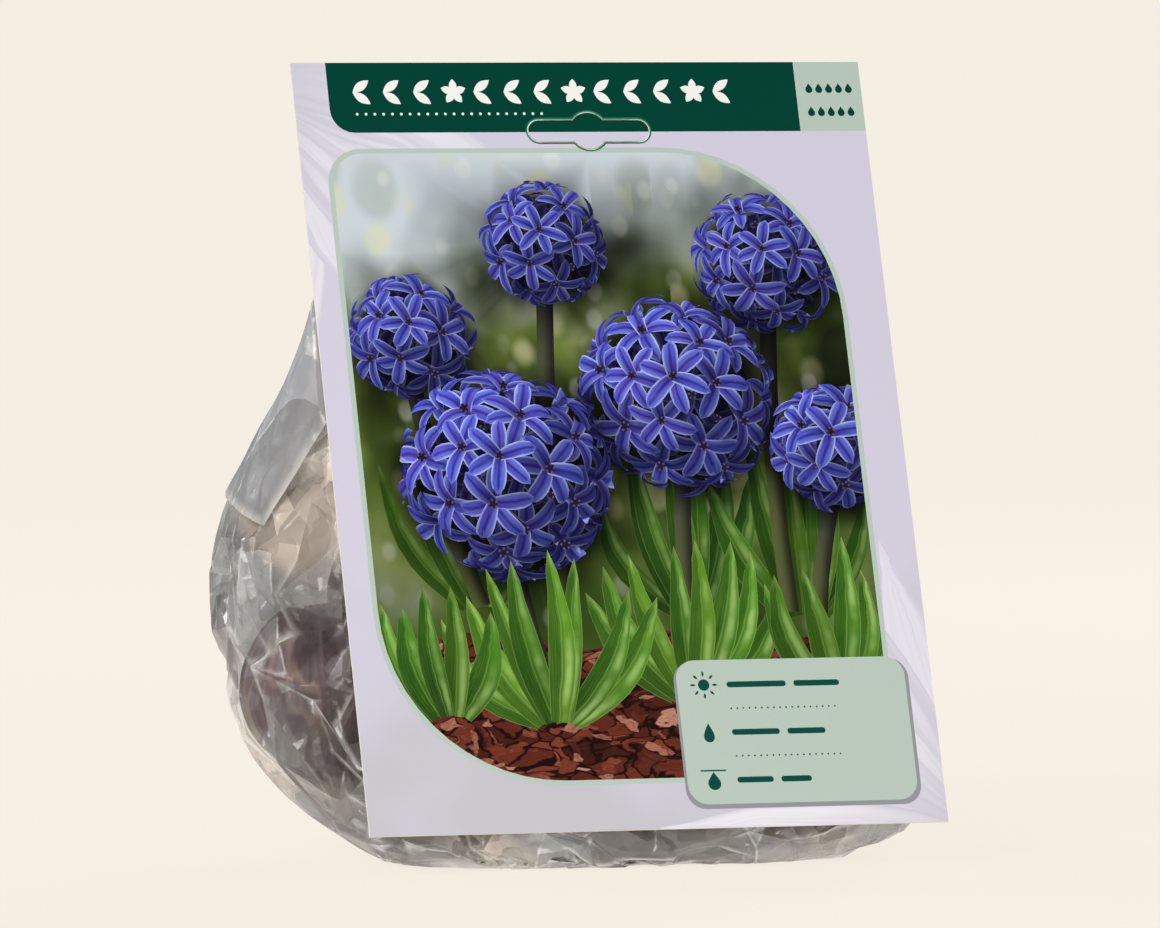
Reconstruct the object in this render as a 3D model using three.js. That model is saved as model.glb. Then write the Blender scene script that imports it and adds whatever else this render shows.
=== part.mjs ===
// A retail pack of ten flower bulbs: a clear film bag of loose bulbs hangs behind a printed board card
// with a die-cut hang slot. The pack stands on the flat of the bag and its card leans back on the bulbs.
// Millimetres, +Z up, the card faces -Y. The origin is under the middle of the whole pack.
import * as THREE from 'three';

// ---- Driving dimensions ----
const CARD = { width: 150, height: 200, thickness: 0.6, lift: 10.4, offsetX: 4 };
const LEAN = THREE.MathUtils.degToRad(19.9); // how far the card leans back from upright
const SLOT = { width: 32.4, armHeight: 6.2, bumpRadius: 5.1, below: 18.2, offsetX: 1.2, arcSteps: 8 };
const CUT = 0.3; // the knife's gap between the slot and its waste tab, and the clearance at every seat
const TAPE = { thickness: 0.6, height: 12, upperWidth: 96, upperAt: 158, lowerWidth: 56, lowerAt: 42 };
const FILM = 0.6; // wall of the bag, thicker than real film so that it is a solid
const BAG_SIDES = 56;
const BULB = { count: 10, radius: 23, radiusSpread: 0.75, profilePoints: 13, sides: 20, tip: 0.02 };

// The bag from its base up: height, half width, sideways shift, depth from front to back, and how square
// its section is. It is fullest over the bulbs, and its lower left corner is rounder than its right.
const STATIONS = [
  { z: 0, halfWidth: 60, shift: 8, depth: 60, square: 2.4 },
  { z: 3, halfWidth: 66, shift: 8, depth: 70, square: 2.5 },
  { z: 10, halfWidth: 75, shift: 6.5, depth: 81, square: 2.6 },
  { z: 24, halfWidth: 84, shift: 3, depth: 92, square: 2.7 },
  { z: 42, halfWidth: 87.5, shift: 0.5, depth: 97, square: 2.7 },
  { z: 62, halfWidth: 88, shift: 0, depth: 96, square: 2.6 },
  { z: 80, halfWidth: 86.5, shift: 0, depth: 88, square: 2.5 },
  { z: 94, halfWidth: 82, shift: 0, depth: 73, square: 2.4 },
  { z: 112, halfWidth: 76, shift: 0.5, depth: 47, square: 2.3 },
  { z: 128, halfWidth: 71, shift: 1, depth: 23, square: 2.3 },
  { z: 144, halfWidth: 65.5, shift: 1.5, depth: 8, square: 2.4 },
  { z: 158, halfWidth: 61, shift: 2, depth: 3.6, square: 2.6 },
  { z: 168, halfWidth: 59, shift: 2, depth: 2.4, square: 2.8 },
];
const MOUTH_Z = STATIONS.at(-1).z;
const SEAT = CUT + TAPE.thickness + CUT; // from the back of the card to the front of the bag
const TOE = 2.2; // how far the foot of the bag stays behind the foot of the card
const TUCK = { depth: 9, height: 10 }; // how the front of the bag draws in under the foot of the card

// How the bulbs are dropped in and settle: a grid of loose bulbs, and the clearances that they end with.
const START = { columns: 5, acrossStep: 33, firstRowY: 38, rowStep: 40, z: 36, stagger: 30, rowRise: 12 };
const SETTLE = { rounds: 1400, sink: 0.4, calm: 0.8, gap: 0.12, wallGap: 1.1, firmness: 0.8, seed: 3 };
const FEELER_COUNT = 42;
const PROBE = 0.25; // the step in which the slope of the wall is measured

// ---- Materials ----
const boardPaper = new THREE.MeshStandardMaterial({ color: 0xcfd0de, roughness: 0.35, metalness: 0 });
const clearFilm = new THREE.MeshStandardMaterial({
  color: 0xa9a49c, roughness: 0.2, metalness: 0, transparent: true, opacity: 0.45,
});
const bulbSkin = new THREE.MeshStandardMaterial({ color: 0x6b4350, roughness: 0.6, metalness: 0 });
const adhesive = new THREE.MeshStandardMaterial({ color: 0xe9e6da, roughness: 0.5, metalness: 0 });

// ---- Helpers ----

function namedMesh(name, geometry, material) {
  const mesh = new THREE.Mesh(geometry, material);
  mesh.name = name;
  return mesh;
}

// A repeatable stream of numbers from 0 to 1.
function seededRandom(seed) {
  let state = seed;
  return () => {
    state = (state * 1664525 + 1013904223) % 4294967296;
    return state / 4294967296;
  };
}

// A smooth curve through one property of the stations, read at height z.
function stationCurve(key) {
  const heights = STATIONS.map((s) => s.z);
  const values = STATIONS.map((s) => s[key]);
  const slopes = values.map((_, i) => {
    const a = Math.max(i - 1, 0);
    const b = Math.min(i + 1, values.length - 1);
    return (values[b] - values[a]) / (heights[b] - heights[a]);
  });
  return (z) => {
    const clamped = THREE.MathUtils.clamp(z, 0, MOUTH_Z);
    const i = Math.max(heights.findLastIndex((h) => h <= clamped && h < MOUTH_Z), 0);
    const span = heights[i + 1] - heights[i];
    const t = (clamped - heights[i]) / span;
    const rise = t * t * (3 - 2 * t);
    const leave = t * (1 - t) * (1 - t) * span;
    const arrive = t * t * (t - 1) * span;
    return values[i] + (values[i + 1] - values[i]) * rise + slopes[i] * leave + slopes[i + 1] * arrive;
  };
}

const halfWidthAt = stationCurve('halfWidth');
const shiftAt = stationCurve('shift');
const depthAt = stationCurve('depth');
const squareAt = stationCurve('square');

// The y of the card's back face at height z, with the foot of the card at y = 0.
function cardBackAt(z) {
  return CARD.thickness / Math.cos(LEAN) + (z - CARD.lift) * Math.tan(LEAN);
}

// The y of the bag's front at height z. It follows the card, and tucks in under the card's foot.
function bagFrontAt(z) {
  const behindCard = cardBackAt(z) + SEAT / Math.cos(LEAN);
  const tuck = TUCK.depth * Math.max(0, 1 - z / TUCK.height) ** 2;
  return Math.max(behindCard, TOE) + tuck;
}

// The bag's section at height z, moved in by inset: centre, half sizes and squareness.
function sectionAt(z, inset) {
  const depth = depthAt(z);
  return {
    centreX: shiftAt(z),
    centreY: bagFrontAt(z) + depth / 2,
    halfX: halfWidthAt(z) - inset,
    halfY: depth / 2 - inset,
    power: squareAt(z),
  };
}

// ---- The card, its slot and the slot's waste tab ----

// The outline of a hang slot: a bar with round ends and a round bump above and below its middle.
function traceSlot(path, centreX, centreY, shrink) {
  const half = SLOT.width / 2 - shrink;
  const arm = SLOT.armHeight / 2 - shrink;
  const bump = SLOT.bumpRadius - shrink;
  const meet = Math.asin(arm / bump);
  const quarter = Math.PI / 2;
  path.moveTo(centreX + Math.cos(meet) * bump, centreY + arm);
  path.absarc(centreX, centreY, bump, meet, Math.PI - meet, false);
  path.absarc(centreX - half + arm, centreY, arm, quarter, 3 * quarter, false);
  path.absarc(centreX, centreY, bump, Math.PI + meet, 2 * Math.PI - meet, false);
  path.absarc(centreX + half - arm, centreY, arm, -quarter, quarter, false);
  path.closePath();
  return path;
}

const slotCentre = new THREE.Vector2(SLOT.offsetX, CARD.height - SLOT.below);

// Extrudes a shape back from the plane of the card's front face.
function boardGeometry(shape) {
  const geometry = new THREE.ExtrudeGeometry(shape, {
    depth: CARD.thickness, bevelEnabled: false, curveSegments: SLOT.arcSteps,
  });
  return geometry.translate(0, 0, -CARD.thickness);
}

function makeCard() {
  const outline = new THREE.Shape();
  outline.moveTo(-CARD.width / 2, 0);
  outline.lineTo(CARD.width / 2, 0);
  outline.lineTo(CARD.width / 2, CARD.height);
  outline.lineTo(-CARD.width / 2, CARD.height);
  outline.closePath();
  outline.holes.push(traceSlot(new THREE.Path(), slotCentre.x, slotCentre.y, 0));
  return namedMesh('card', boardGeometry(outline), boardPaper);
}

function makeSlotTab() {
  const outline = traceSlot(new THREE.Shape(), slotCentre.x, slotCentre.y, CUT);
  return namedMesh('slot_tab', boardGeometry(outline), boardPaper);
}

// A strip of double-sided tape on the back of the card, its middle at height above the card's foot.
function makeTape(name, width, height) {
  const strip = namedMesh(name, new THREE.BoxGeometry(width, TAPE.height, TAPE.thickness), adhesive);
  strip.position.set(-CARD.offsetX, height, -CARD.thickness - CUT - TAPE.thickness / 2);
  return strip;
}

// ---- The film bag ----

// One closed ring of the bag at height z, as points.
function ringPoints(z, inset) {
  const { centreX, centreY, halfX, halfY, power } = sectionAt(z, inset);
  return Array.from({ length: BAG_SIDES }, (_, i) => {
    const angle = (2 * Math.PI * i) / BAG_SIDES;
    const cos = Math.cos(angle);
    const sin = Math.sin(angle);
    const x = Math.sign(cos) * halfX * Math.abs(cos) ** (2 / power);
    const y = Math.sign(sin) * halfY * Math.abs(sin) ** (2 / power);
    return new THREE.Vector3(centreX + x, centreY + y, z);
  });
}

// A thin-walled bag: outer rings up to the open mouth, inner rings back down, and a flat at each base.
function makeBag() {
  const heights = STATIONS.flatMap(({ z }, i) => (i ? [(STATIONS[i - 1].z + z) / 2, z] : [z]));
  const outer = heights.map((z) => ringPoints(z, 0));
  const inner = [FILM, ...heights.filter((z) => z > FILM)].map((z) => ringPoints(z, FILM));
  const rings = [...outer, ...inner.reverse()];
  const vertices = rings.flat();
  const triangles = [];
  rings.slice(1).forEach((_, ring) => {
    const below = ring * BAG_SIDES;
    for (let i = 0; i < BAG_SIDES; i += 1) {
      const next = (i + 1) % BAG_SIDES;
      const [a, b] = [below + i, below + next];
      const [c, d] = [b + BAG_SIDES, a + BAG_SIDES];
      triangles.push(a, b, c, a, c, d);
    }
  });
  capRing(vertices, triangles, 0, true);
  capRing(vertices, triangles, (rings.length - 1) * BAG_SIDES, false);
  const geometry = new THREE.BufferGeometry().setFromPoints(vertices);
  geometry.setIndex(triangles);
  return namedMesh('film_bag', geometry, clearFilm);
}

// Closes the ring that starts at vertex first with a fan from its middle.
function capRing(vertices, triangles, first, facesDown) {
  const middle = new THREE.Vector3();
  for (let i = 0; i < BAG_SIDES; i += 1) middle.addScaledVector(vertices[first + i], 1 / BAG_SIDES);
  const centre = vertices.push(middle) - 1;
  for (let i = 0; i < BAG_SIDES; i += 1) {
    const a = first + i;
    const b = first + ((i + 1) % BAG_SIDES);
    triangles.push(...(facesDown ? [centre, b, a] : [centre, a, b]));
  }
}

// ---- The bulbs ----

// Balls along a bulb's axis that cover its outline, as shares of its radius.
const BALLS = [
  { at: -0.3, radius: 0.72 }, // root plate
  { at: 0, radius: 1 }, // body
  { at: 0.4, radius: 0.76 }, // shoulder
  { at: 0.86, radius: 0.38 }, // nose
];

// Half the outline of a bulb of radius 1, from the middle of its root plate to the tip of its nose.
const BULB_OUTLINE = new THREE.SplineCurve([
  [0.2, -0.95], [0.42, -0.93], [0.7, -0.7], [0.93, -0.34], [1, 0], [0.94, 0.32], [0.76, 0.62],
  [0.5, 0.86], [0.3, 1.0], [0.17, 1.12], [0.07, 1.2],
].map(([r, z]) => new THREE.Vector2(r, z)));

// Even directions, on a spiral round a sphere, in which a ball feels for the wall of the bag.
const FEELERS = Array.from({ length: FEELER_COUNT }, (_, i) => {
  const height = 1 - (2 * i + 1) / FEELER_COUNT;
  const turn = Math.PI * (1 + Math.sqrt(5)) * i;
  const across = Math.sqrt(1 - height * height);
  return new THREE.Vector3(Math.cos(turn) * across, Math.sin(turn) * across, height);
});

// How far out a point lies in the bag's hollow: 0 at the middle of its section and 1 at the wall.
function reach(x, y, z) {
  const { centreX, centreY, halfX, halfY, power } = sectionAt(z, FILM);
  return (Math.abs((x - centreX) / halfX) ** power + Math.abs((y - centreY) / halfY) ** power) ** (1 / power);
}

// The push that brings a point back inside the wall, or null where it is inside.
function wallPush({ x, y, z }) {
  const over = reach(x, y, z) - 1;
  if (over <= 0) return null;
  const slope = new THREE.Vector3(
    reach(x + PROBE, y, z) - reach(x - PROBE, y, z),
    reach(x, y + PROBE, z) - reach(x, y - PROBE, z),
    reach(x, y, z + PROBE) - reach(x, y, z - PROBE),
  ).divideScalar(2 * PROBE);
  return slope.multiplyScalar(-over / slope.lengthSq());
}

// Moves a ball off the walls and the floor of the bag.
function keepInBag(ball) {
  FEELERS.forEach((direction) => {
    const push = wallPush(ball.position.clone().addScaledVector(direction, ball.radius + SETTLE.wallGap));
    if (push) ball.position.add(push);
  });
  ball.position.z = Math.max(ball.position.z, FILM + CUT + ball.radius);
}

// Moves two balls of different bulbs apart where they meet.
function partBalls(a, b) {
  const between = b.position.clone().sub(a.position);
  const overlap = a.radius + b.radius + SETTLE.gap - between.length();
  if (a.bulb === b.bulb || overlap <= 0) return;
  between.setLength(overlap * SETTLE.firmness);
  a.position.sub(between);
  b.position.add(between);
}

// Puts a bulb back together: the straight line that best fits where its balls have gone.
function fitBulb(bulb, balls) {
  const meanOffset = balls.reduce((sum, ball) => sum + ball.offset, 0) / balls.length;
  const middle = new THREE.Vector3();
  balls.forEach((ball) => middle.addScaledVector(ball.position, 1 / balls.length));
  const axis = new THREE.Vector3();
  balls.forEach((ball) => axis.addScaledVector(ball.position, ball.offset - meanOffset));
  bulb.axis.copy(axis.normalize());
  bulb.centre.copy(middle).addScaledVector(bulb.axis, -meanOffset);
}

// The loose bulbs before they settle, in a staggered grid, each tipped its own way.
function scatterBulbs() {
  const random = seededRandom(SETTLE.seed);
  return Array.from({ length: BULB.count }, (_, i) => {
    const column = i % START.columns;
    const row = Math.floor(i / START.columns);
    const x = (column - (START.columns - 1) / 2) * START.acrossStep;
    const y = START.firstRowY + row * START.rowStep;
    const z = START.z + START.stagger * (column % 2) + row * START.rowRise;
    const radius = BULB.radius + (random() * 2 - 1) * BULB.radiusSpread;
    const axis = new THREE.Vector3(random() - 0.5, random() - 0.5, random() * 0.9 + 0.05).normalize();
    return { radius, centre: new THREE.Vector3(x, y, z), axis };
  });
}

function ballsOf(bulb) {
  return BALLS.map(({ at, radius }) => ({
    bulb,
    radius: radius * bulb.radius,
    offset: at * bulb.radius,
    position: bulb.centre.clone().addScaledVector(bulb.axis, at * bulb.radius),
  }));
}

// Lets the bulbs settle in the bag: they sink, push each other and the walls away, and stay rigid.
function settleBulbs() {
  const bulbs = scatterBulbs();
  for (let round = 0; round < SETTLE.rounds; round += 1) {
    const sink = SETTLE.sink * Math.max(0, 1 - round / (SETTLE.calm * SETTLE.rounds)) ** 2;
    const groups = bulbs.map(ballsOf);
    const balls = groups.flat();
    balls.forEach((ball) => { ball.position.z -= sink; });
    balls.forEach((a, i) => balls.slice(i + 1).forEach((b) => partBalls(a, b)));
    balls.forEach(keepInBag);
    bulbs.forEach((bulb, i) => fitBulb(bulb, groups[i]));
  }
  return bulbs;
}

function makeBulb({ radius, centre, axis }, index) {
  const outline = BULB_OUTLINE.getSpacedPoints(BULB.profilePoints).map((p) => p.multiplyScalar(radius));
  outline.unshift(new THREE.Vector2(0, outline[0].y));
  outline.push(new THREE.Vector2(0, outline.at(-1).y + BULB.tip * radius));
  const name = `bulb_${String(index + 1).padStart(2, '0')}`;
  const bulb = namedMesh(name, new THREE.LatheGeometry(outline, BULB.sides), bulbSkin);
  bulb.quaternion.setFromUnitVectors(new THREE.Vector3(0, 1, 0), axis);
  bulb.position.copy(centre);
  return bulb;
}

// ---- Assembly ----
const pack = new THREE.Group();

const leaning = new THREE.Group(); // x across the card, y up its face, z out of its printed side
leaning.position.set(CARD.offsetX, 0, CARD.lift);
leaning.rotation.x = Math.PI / 2 - LEAN;
leaning.add(
  makeCard(),
  makeSlotTab(),
  makeTape('tape_upper', TAPE.upperWidth, TAPE.upperAt),
  makeTape('tape_lower', TAPE.lowerWidth, TAPE.lowerAt),
);
pack.add(leaning, makeBag(), ...settleBulbs().map(makeBulb));

// The origin goes under the middle of the pack, from the card's foot to the back of the bag.
pack.updateMatrixWorld(true);
const middle = new THREE.Box3().setFromObject(pack, true).getCenter(new THREE.Vector3());
pack.position.set(-middle.x, -middle.y, 0);

export default pack;
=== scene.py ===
# %% [markdown]
# # A pack of flower bulbs
# A printed card leans back on a crinkled film bag, and ten bulbs lie loose in the bag. The frame gives
# every piece its place and size. This lesson gives each one its finish: ink and varnish on the card, folds
# in the film and papery skin on the bulbs.

# %% Load the frame
import math

import bpy
import numpy as np
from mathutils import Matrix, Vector, geometry, noise


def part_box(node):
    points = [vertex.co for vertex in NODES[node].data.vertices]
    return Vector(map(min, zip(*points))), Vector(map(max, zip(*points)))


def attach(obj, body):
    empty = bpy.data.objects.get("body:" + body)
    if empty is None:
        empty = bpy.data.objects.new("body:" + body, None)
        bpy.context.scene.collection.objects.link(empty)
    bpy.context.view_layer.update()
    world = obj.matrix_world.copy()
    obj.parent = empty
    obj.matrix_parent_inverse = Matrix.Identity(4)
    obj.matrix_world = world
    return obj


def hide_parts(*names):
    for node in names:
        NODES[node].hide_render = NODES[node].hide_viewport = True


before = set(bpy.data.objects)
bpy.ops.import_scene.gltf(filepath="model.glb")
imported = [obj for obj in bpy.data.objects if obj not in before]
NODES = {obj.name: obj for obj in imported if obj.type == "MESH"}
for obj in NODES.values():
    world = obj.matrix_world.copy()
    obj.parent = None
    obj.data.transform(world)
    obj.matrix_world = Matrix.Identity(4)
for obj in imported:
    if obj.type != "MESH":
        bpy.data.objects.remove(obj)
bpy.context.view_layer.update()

MM = 0.001

# %% [markdown]
# ## Where the card stands
# The drawing on the card is made in the card's own flat sheet: x runs across it from the middle, and y runs
# up it from the foot. Two directions carry a point of that sheet into the room, and the frame's box of the
# card gives the point that they start from.

# %% The card's sheet
LEAN = math.radians(19.9)
BOARD = 0.6 * MM
CARD_W = 150 * MM
CARD_H = 200 * MM
card_low, card_high = (np.array(corner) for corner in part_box("card"))
UP_CARD = np.array([0, math.sin(LEAN), math.cos(LEAN)])
OUT_OF_CARD = np.array([0, -math.cos(LEAN), math.sin(LEAN)])
FOOT = np.array([(card_low[0] + card_high[0]) / 2, card_low[1], card_low[2] + BOARD * math.sin(LEAN)])
CARD_MIDDLE = FOOT + UP_CARD * CARD_H / 2


def on_card(sheet, lift=0.0):
    """Points on the card's sheet, in mm, as points in the room, lifted off the print by so many mm."""
    sheet = np.asarray(sheet, float)
    across = np.outer(sheet[:, 0], [1, 0, 0])
    up = np.outer(sheet[:, 1], UP_CARD)
    off = np.multiply.outer(np.broadcast_to(lift, len(sheet)), OUT_OF_CARD)
    return FOOT + (across + up + off) * MM


print("card foot", FOOT.round(4), "height", round(CARD_H, 3))

# %% [markdown]
# ## The camera
# The picture is taken with a long lens from a little left of the card and just above its middle, so its
# edges stay close to parallel. The distance, turn and rise were fitted to the card's four corners.

# %% The camera
DISTANCE = 2.5
AZIMUTH = math.radians(-18.0)
RISE = math.radians(2.6)
FRAME_WIDTH = 1160
PIXELS_PER_M = 4021 # at the card's middle
OFF_CENTRE = (38.8, 22.5) # pixels from the picture's middle to the card's, to the right and up

back = Vector((math.sin(AZIMUTH) * math.cos(RISE), -math.cos(AZIMUTH) * math.cos(RISE), math.sin(RISE)))
right = (-back).cross(Vector((0, 0, 1))).normalized()
up = right.cross(-back)
middle_of_picture = Vector(CARD_MIDDLE) - (right * OFF_CENTRE[0] + up * OFF_CENTRE[1]) / PIXELS_PER_M
camera_data = bpy.data.cameras.new("camera")
camera_data.sensor_fit = "HORIZONTAL"
camera_data.lens = PIXELS_PER_M * DISTANCE / FRAME_WIDTH * camera_data.sensor_width
camera_data.clip_end = 50
camera = bpy.data.objects.new("camera", camera_data)
camera.location = middle_of_picture + back * DISTANCE
camera.rotation_euler = (-back).to_track_quat("-Z", "Y").to_euler()
bpy.context.collection.objects.link(camera)
bpy.context.scene.camera = camera
print("lens", round(camera_data.lens, 1), "mm")

# %% [markdown]
# ## Shader maths as expressions
# A finish is a recipe of numbers and colours. `Value` wraps one socket, and its operators add the Math node
# that they stand for, so a recipe reads as a formula. `Recipe.node` adds any other node: its type, its
# settings, then the values or links of its sockets.

# %% Recipes
def paint(red, green, blue):
    """A colour as a screen shows it, from 0 to 255, as the light values that Blender works with."""
    shares = np.array([red, green, blue]) / 255
    bright = ((shares + 0.055) / 1.055) ** 2.4
    return tuple(float(v) for v in np.where(shares > 0.04045, bright, shares / 12.92))


class Value:
    """A number or a colour that changes over a surface."""

    def __init__(self, recipe, socket):
        self.recipe = recipe
        self.socket = socket

    def maths(self, operation, *others):
        settings = {"operation": operation}
        return self.recipe.node("ShaderNodeMath", settings, dict(enumerate((self, *others))))

    def __add__(self, other):
        return self.maths("ADD", other)

    def __sub__(self, other):
        return self.maths("SUBTRACT", other)

    def __mul__(self, other):
        return self.maths("MULTIPLY", other)

    def __rsub__(self, other):
        return self.recipe.node("ShaderNodeMath", {"operation": "SUBTRACT"}, {0: other, 1: self})

    __radd__ = __add__
    __rmul__ = __mul__

    def clamped(self):
        return self.maths("MAXIMUM", 0.0).maths("MINIMUM", 1.0)

    def between(self, low, high):
        """0 below low, 1 above high, and a smooth step from one to the other."""
        sockets = {"Value": self, "From Min": low, "From Max": high}
        return self.recipe.node("ShaderNodeMapRange", {"interpolation_type": "SMOOTHSTEP"}, sockets)


class Recipe:
    """One material, built up node by node. It ends in a Principled shader."""

    def __init__(self, name):
        self.material = bpy.data.materials.new(name)
        self.material.use_nodes = True
        self.tree = self.material.node_tree
        self.shader = self.tree.nodes["Principled BSDF"]

    def node(self, kind, settings=None, sockets=None, output=0):
        made = self.tree.nodes.new(kind)
        for name, setting in (settings or {}).items():
            if name == "stops":
                self.set_stops(made.color_ramp.elements, setting)
            else:
                setattr(made, name, setting)
        for key, value in (sockets or {}).items():
            self.feed(made.inputs[key], value)
        return Value(self, made.outputs[output])

    def set_stops(self, elements, stops):
        while len(elements) < len(stops):
            elements.new(1.0)
        for element, (place, colour) in zip(elements, stops):
            element.position = place
            element.color = (*colour, 1)

    def feed(self, socket, value):
        if isinstance(value, Value):
            self.tree.links.new(value.socket, socket)
        elif isinstance(value, tuple) and len(value) == 3 and socket.type == "RGBA":
            socket.default_value = (*value, 1)
        else:
            socket.default_value = value

    def mix(self, share, first, second):
        """From the first colour to the second as share goes from 0 to 1."""
        settings = {"data_type": "RGBA", "clamp_factor": True}
        return self.node("ShaderNodeMix", settings, {0: share, 6: first, 7: second}, output=2)

    def place(self, scale=(1, 1, 1), turn=(0, 0, 0)):
        """Object coordinates in metres, turned and scaled."""
        place = self.node("ShaderNodeTexCoord", output="Object")
        return self.node("ShaderNodeMapping", None, {0: place, 2: turn, 3: scale})

    def vector(self, *parts):
        return self.node("ShaderNodeCombineXYZ", None, dict(enumerate(parts)))

    def part(self, vector, number):
        """One of the three numbers of a vector or a colour."""
        return self.node("ShaderNodeSeparateXYZ", None, {0: vector}, output=number)

    def vector_maths(self, operation, *values):
        return self.node("ShaderNodeVectorMath", {"operation": operation}, dict(enumerate(values)))

    def scaled(self, colour, share):
        return self.node("ShaderNodeVectorMath", {"operation": "SCALE"}, {0: colour, 3: share})

    def map(self, name):
        """The two numbers of the piece's own UV map of that name."""
        flat = self.node("ShaderNodeUVMap", {"uv_map": name})
        return [self.part(flat, i) for i in (0, 1)]

    def attribute(self, name, output="Fac"):
        return self.node("ShaderNodeAttribute", {"attribute_name": name}, output=output)

    def noise(self, vector, scale, detail=2.0, rough=0.5, output=0):
        sockets = {"Vector": vector, "Scale": scale, "Detail": detail, "Roughness": rough}
        return self.node("ShaderNodeTexNoise", None, sockets, output)

    def cells(self, vector, scale, output="Distance", feature="F1"):
        """Cells round scattered points: how far away the point is, or a colour that it drew by lot."""
        sockets = {"Vector": vector, "Scale": scale}
        return self.node("ShaderNodeTexVoronoi", {"feature": feature}, sockets, output)

    def bump(self, height, distance, strength=1.0, under=None):
        sockets = {"Strength": strength, "Distance": distance, "Height": height}
        if under is not None:
            sockets["Normal"] = under
        return self.node("ShaderNodeBump", None, sockets)

    def finish(self, **sockets):
        """Sets the Principled shader's sockets by name, with _ for a space."""
        for name, value in sockets.items():
            self.feed(self.shader.inputs[name.replace("_", " ")], value)
        return self.material


print("white is", paint(255, 255, 255))

# %% [markdown]
# ## Pieces
# A finished piece is an object at the origin, unturned, whose place is in its mesh. It is made from points
# in metres, faces and materials. Its points, corners or faces can also carry numbers, which its finish
# reads by name.

# %% Pieces
def new_piece(name, points, faces, *materials):
    """An object at the origin, with its place in its mesh."""
    mesh = bpy.data.meshes.new(name)
    mesh.from_pydata(np.asarray(points, float).tolist(), [], faces)
    for material in materials:
        mesh.materials.append(material)
    piece = bpy.data.objects.new(name, mesh)
    bpy.context.collection.objects.link(piece)
    return piece


def write(piece, name, domain, values, kind="FLOAT"):
    """Gives each of a piece's points, corners or faces a number, or a vector."""
    made = piece.data.attributes.new(name, kind, domain)
    made.data.foreach_set("value" if kind == "FLOAT" else "vector", np.asarray(values, np.float32).ravel())


def write_map(piece, name, values):
    """Gives each corner of a piece's faces two numbers, as a UV map."""
    made = piece.data.uv_layers.new(name=name)
    made.data.foreach_set("uv", np.asarray(values, np.float32).ravel())


print("meshes in the frame:", len(bpy.data.meshes))

# %% [markdown]
# ## The print, as shapes of ink
# The card is printed in flat inks and one picture: round heads of blue star flowers over green leaves and
# bark, in a window with two soft corners. A picture like this could be painted into an image, but then the
# card would depend on a file, and its edges would blur close up. Here every petal, leaf and panel is a
# closed outline instead, in millimetres on the card's sheet. Later cells cut the card's face along all of
# them, so each edge stays sharp at any distance.

# %% Outlines
def ring(centre, radii, count=24, start=0.0, turns=1.0):
    """Points on a circle or an oval."""
    angles = start + np.linspace(0, turns * 2 * np.pi, count, endpoint=turns < 1)
    return np.array(centre) + np.stack([np.cos(angles), np.sin(angles)], 1) * radii


def panel(low, high, corners, steps=7):
    """A rectangle with a radius for each corner, from the lower left one round anticlockwise."""
    (x0, y0), (x1, y1) = low, high
    places = ((x0, y0, 1, 1), (x1, y0, -1, 1), (x1, y1, -1, -1), (x0, y1, 1, -1))
    points = []
    for turn, ((x, y, sx, sy), radius) in enumerate(zip(places, corners)):
        if radius == 0:
            points.append([[x, y]])
            continue
        middle = (x + sx * radius, y + sy * radius)
        points.append(ring(middle, radius, steps, (turn + 2) * np.pi / 2, 0.25))
    return np.concatenate(points)


def strip(spine, widths):
    """The outline of a band round a line of points, which ends in a point where its last width is 0."""
    spine = np.asarray(spine, float)
    along = np.gradient(spine, axis=0)
    side = np.stack([-along[:, 1], along[:, 0]], 1) / np.linalg.norm(along, axis=1)[:, None]
    reach = side * np.array(widths)[:, None]
    return np.concatenate([spine + reach, (spine - reach)[::-1][int(widths[-1] == 0):]])


class Shape:
    """One patch of ink. A petal or leaf also has a spine, which its colours follow, and a light along it."""

    def __init__(self, ink, outline, spine=None, widths=None, light=1.0, tone=0.5, floret=-1):
        self.ink = ink
        self.outline = np.asarray(outline, float)
        self.spine = spine
        self.widths = widths
        self.light = np.broadcast_to(light, len(spine)) if spine is not None else light
        self.tone = tone
        self.floret = floret


print("outlines are in millimetres, the card is", round(CARD_W / MM), "x", round(CARD_H / MM))

# %% [markdown]
# ## A star flower
# Each floret is worked out in space and then seen from the front: six straps leave its throat, spread and
# curl back past the level. On the rim of a round head that foreshortens them by itself, which a flat star
# could not do. How a strap faces the sun gives it its light.

# %% Florets and heads
FLORET = {"length": 11.5, "width": 2.5, "steps": 7, "rise": 0.55, "curl": 2.35}
SUN = np.array([-0.45, 0.6, 0.66])
picture = []
florets = []


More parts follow.
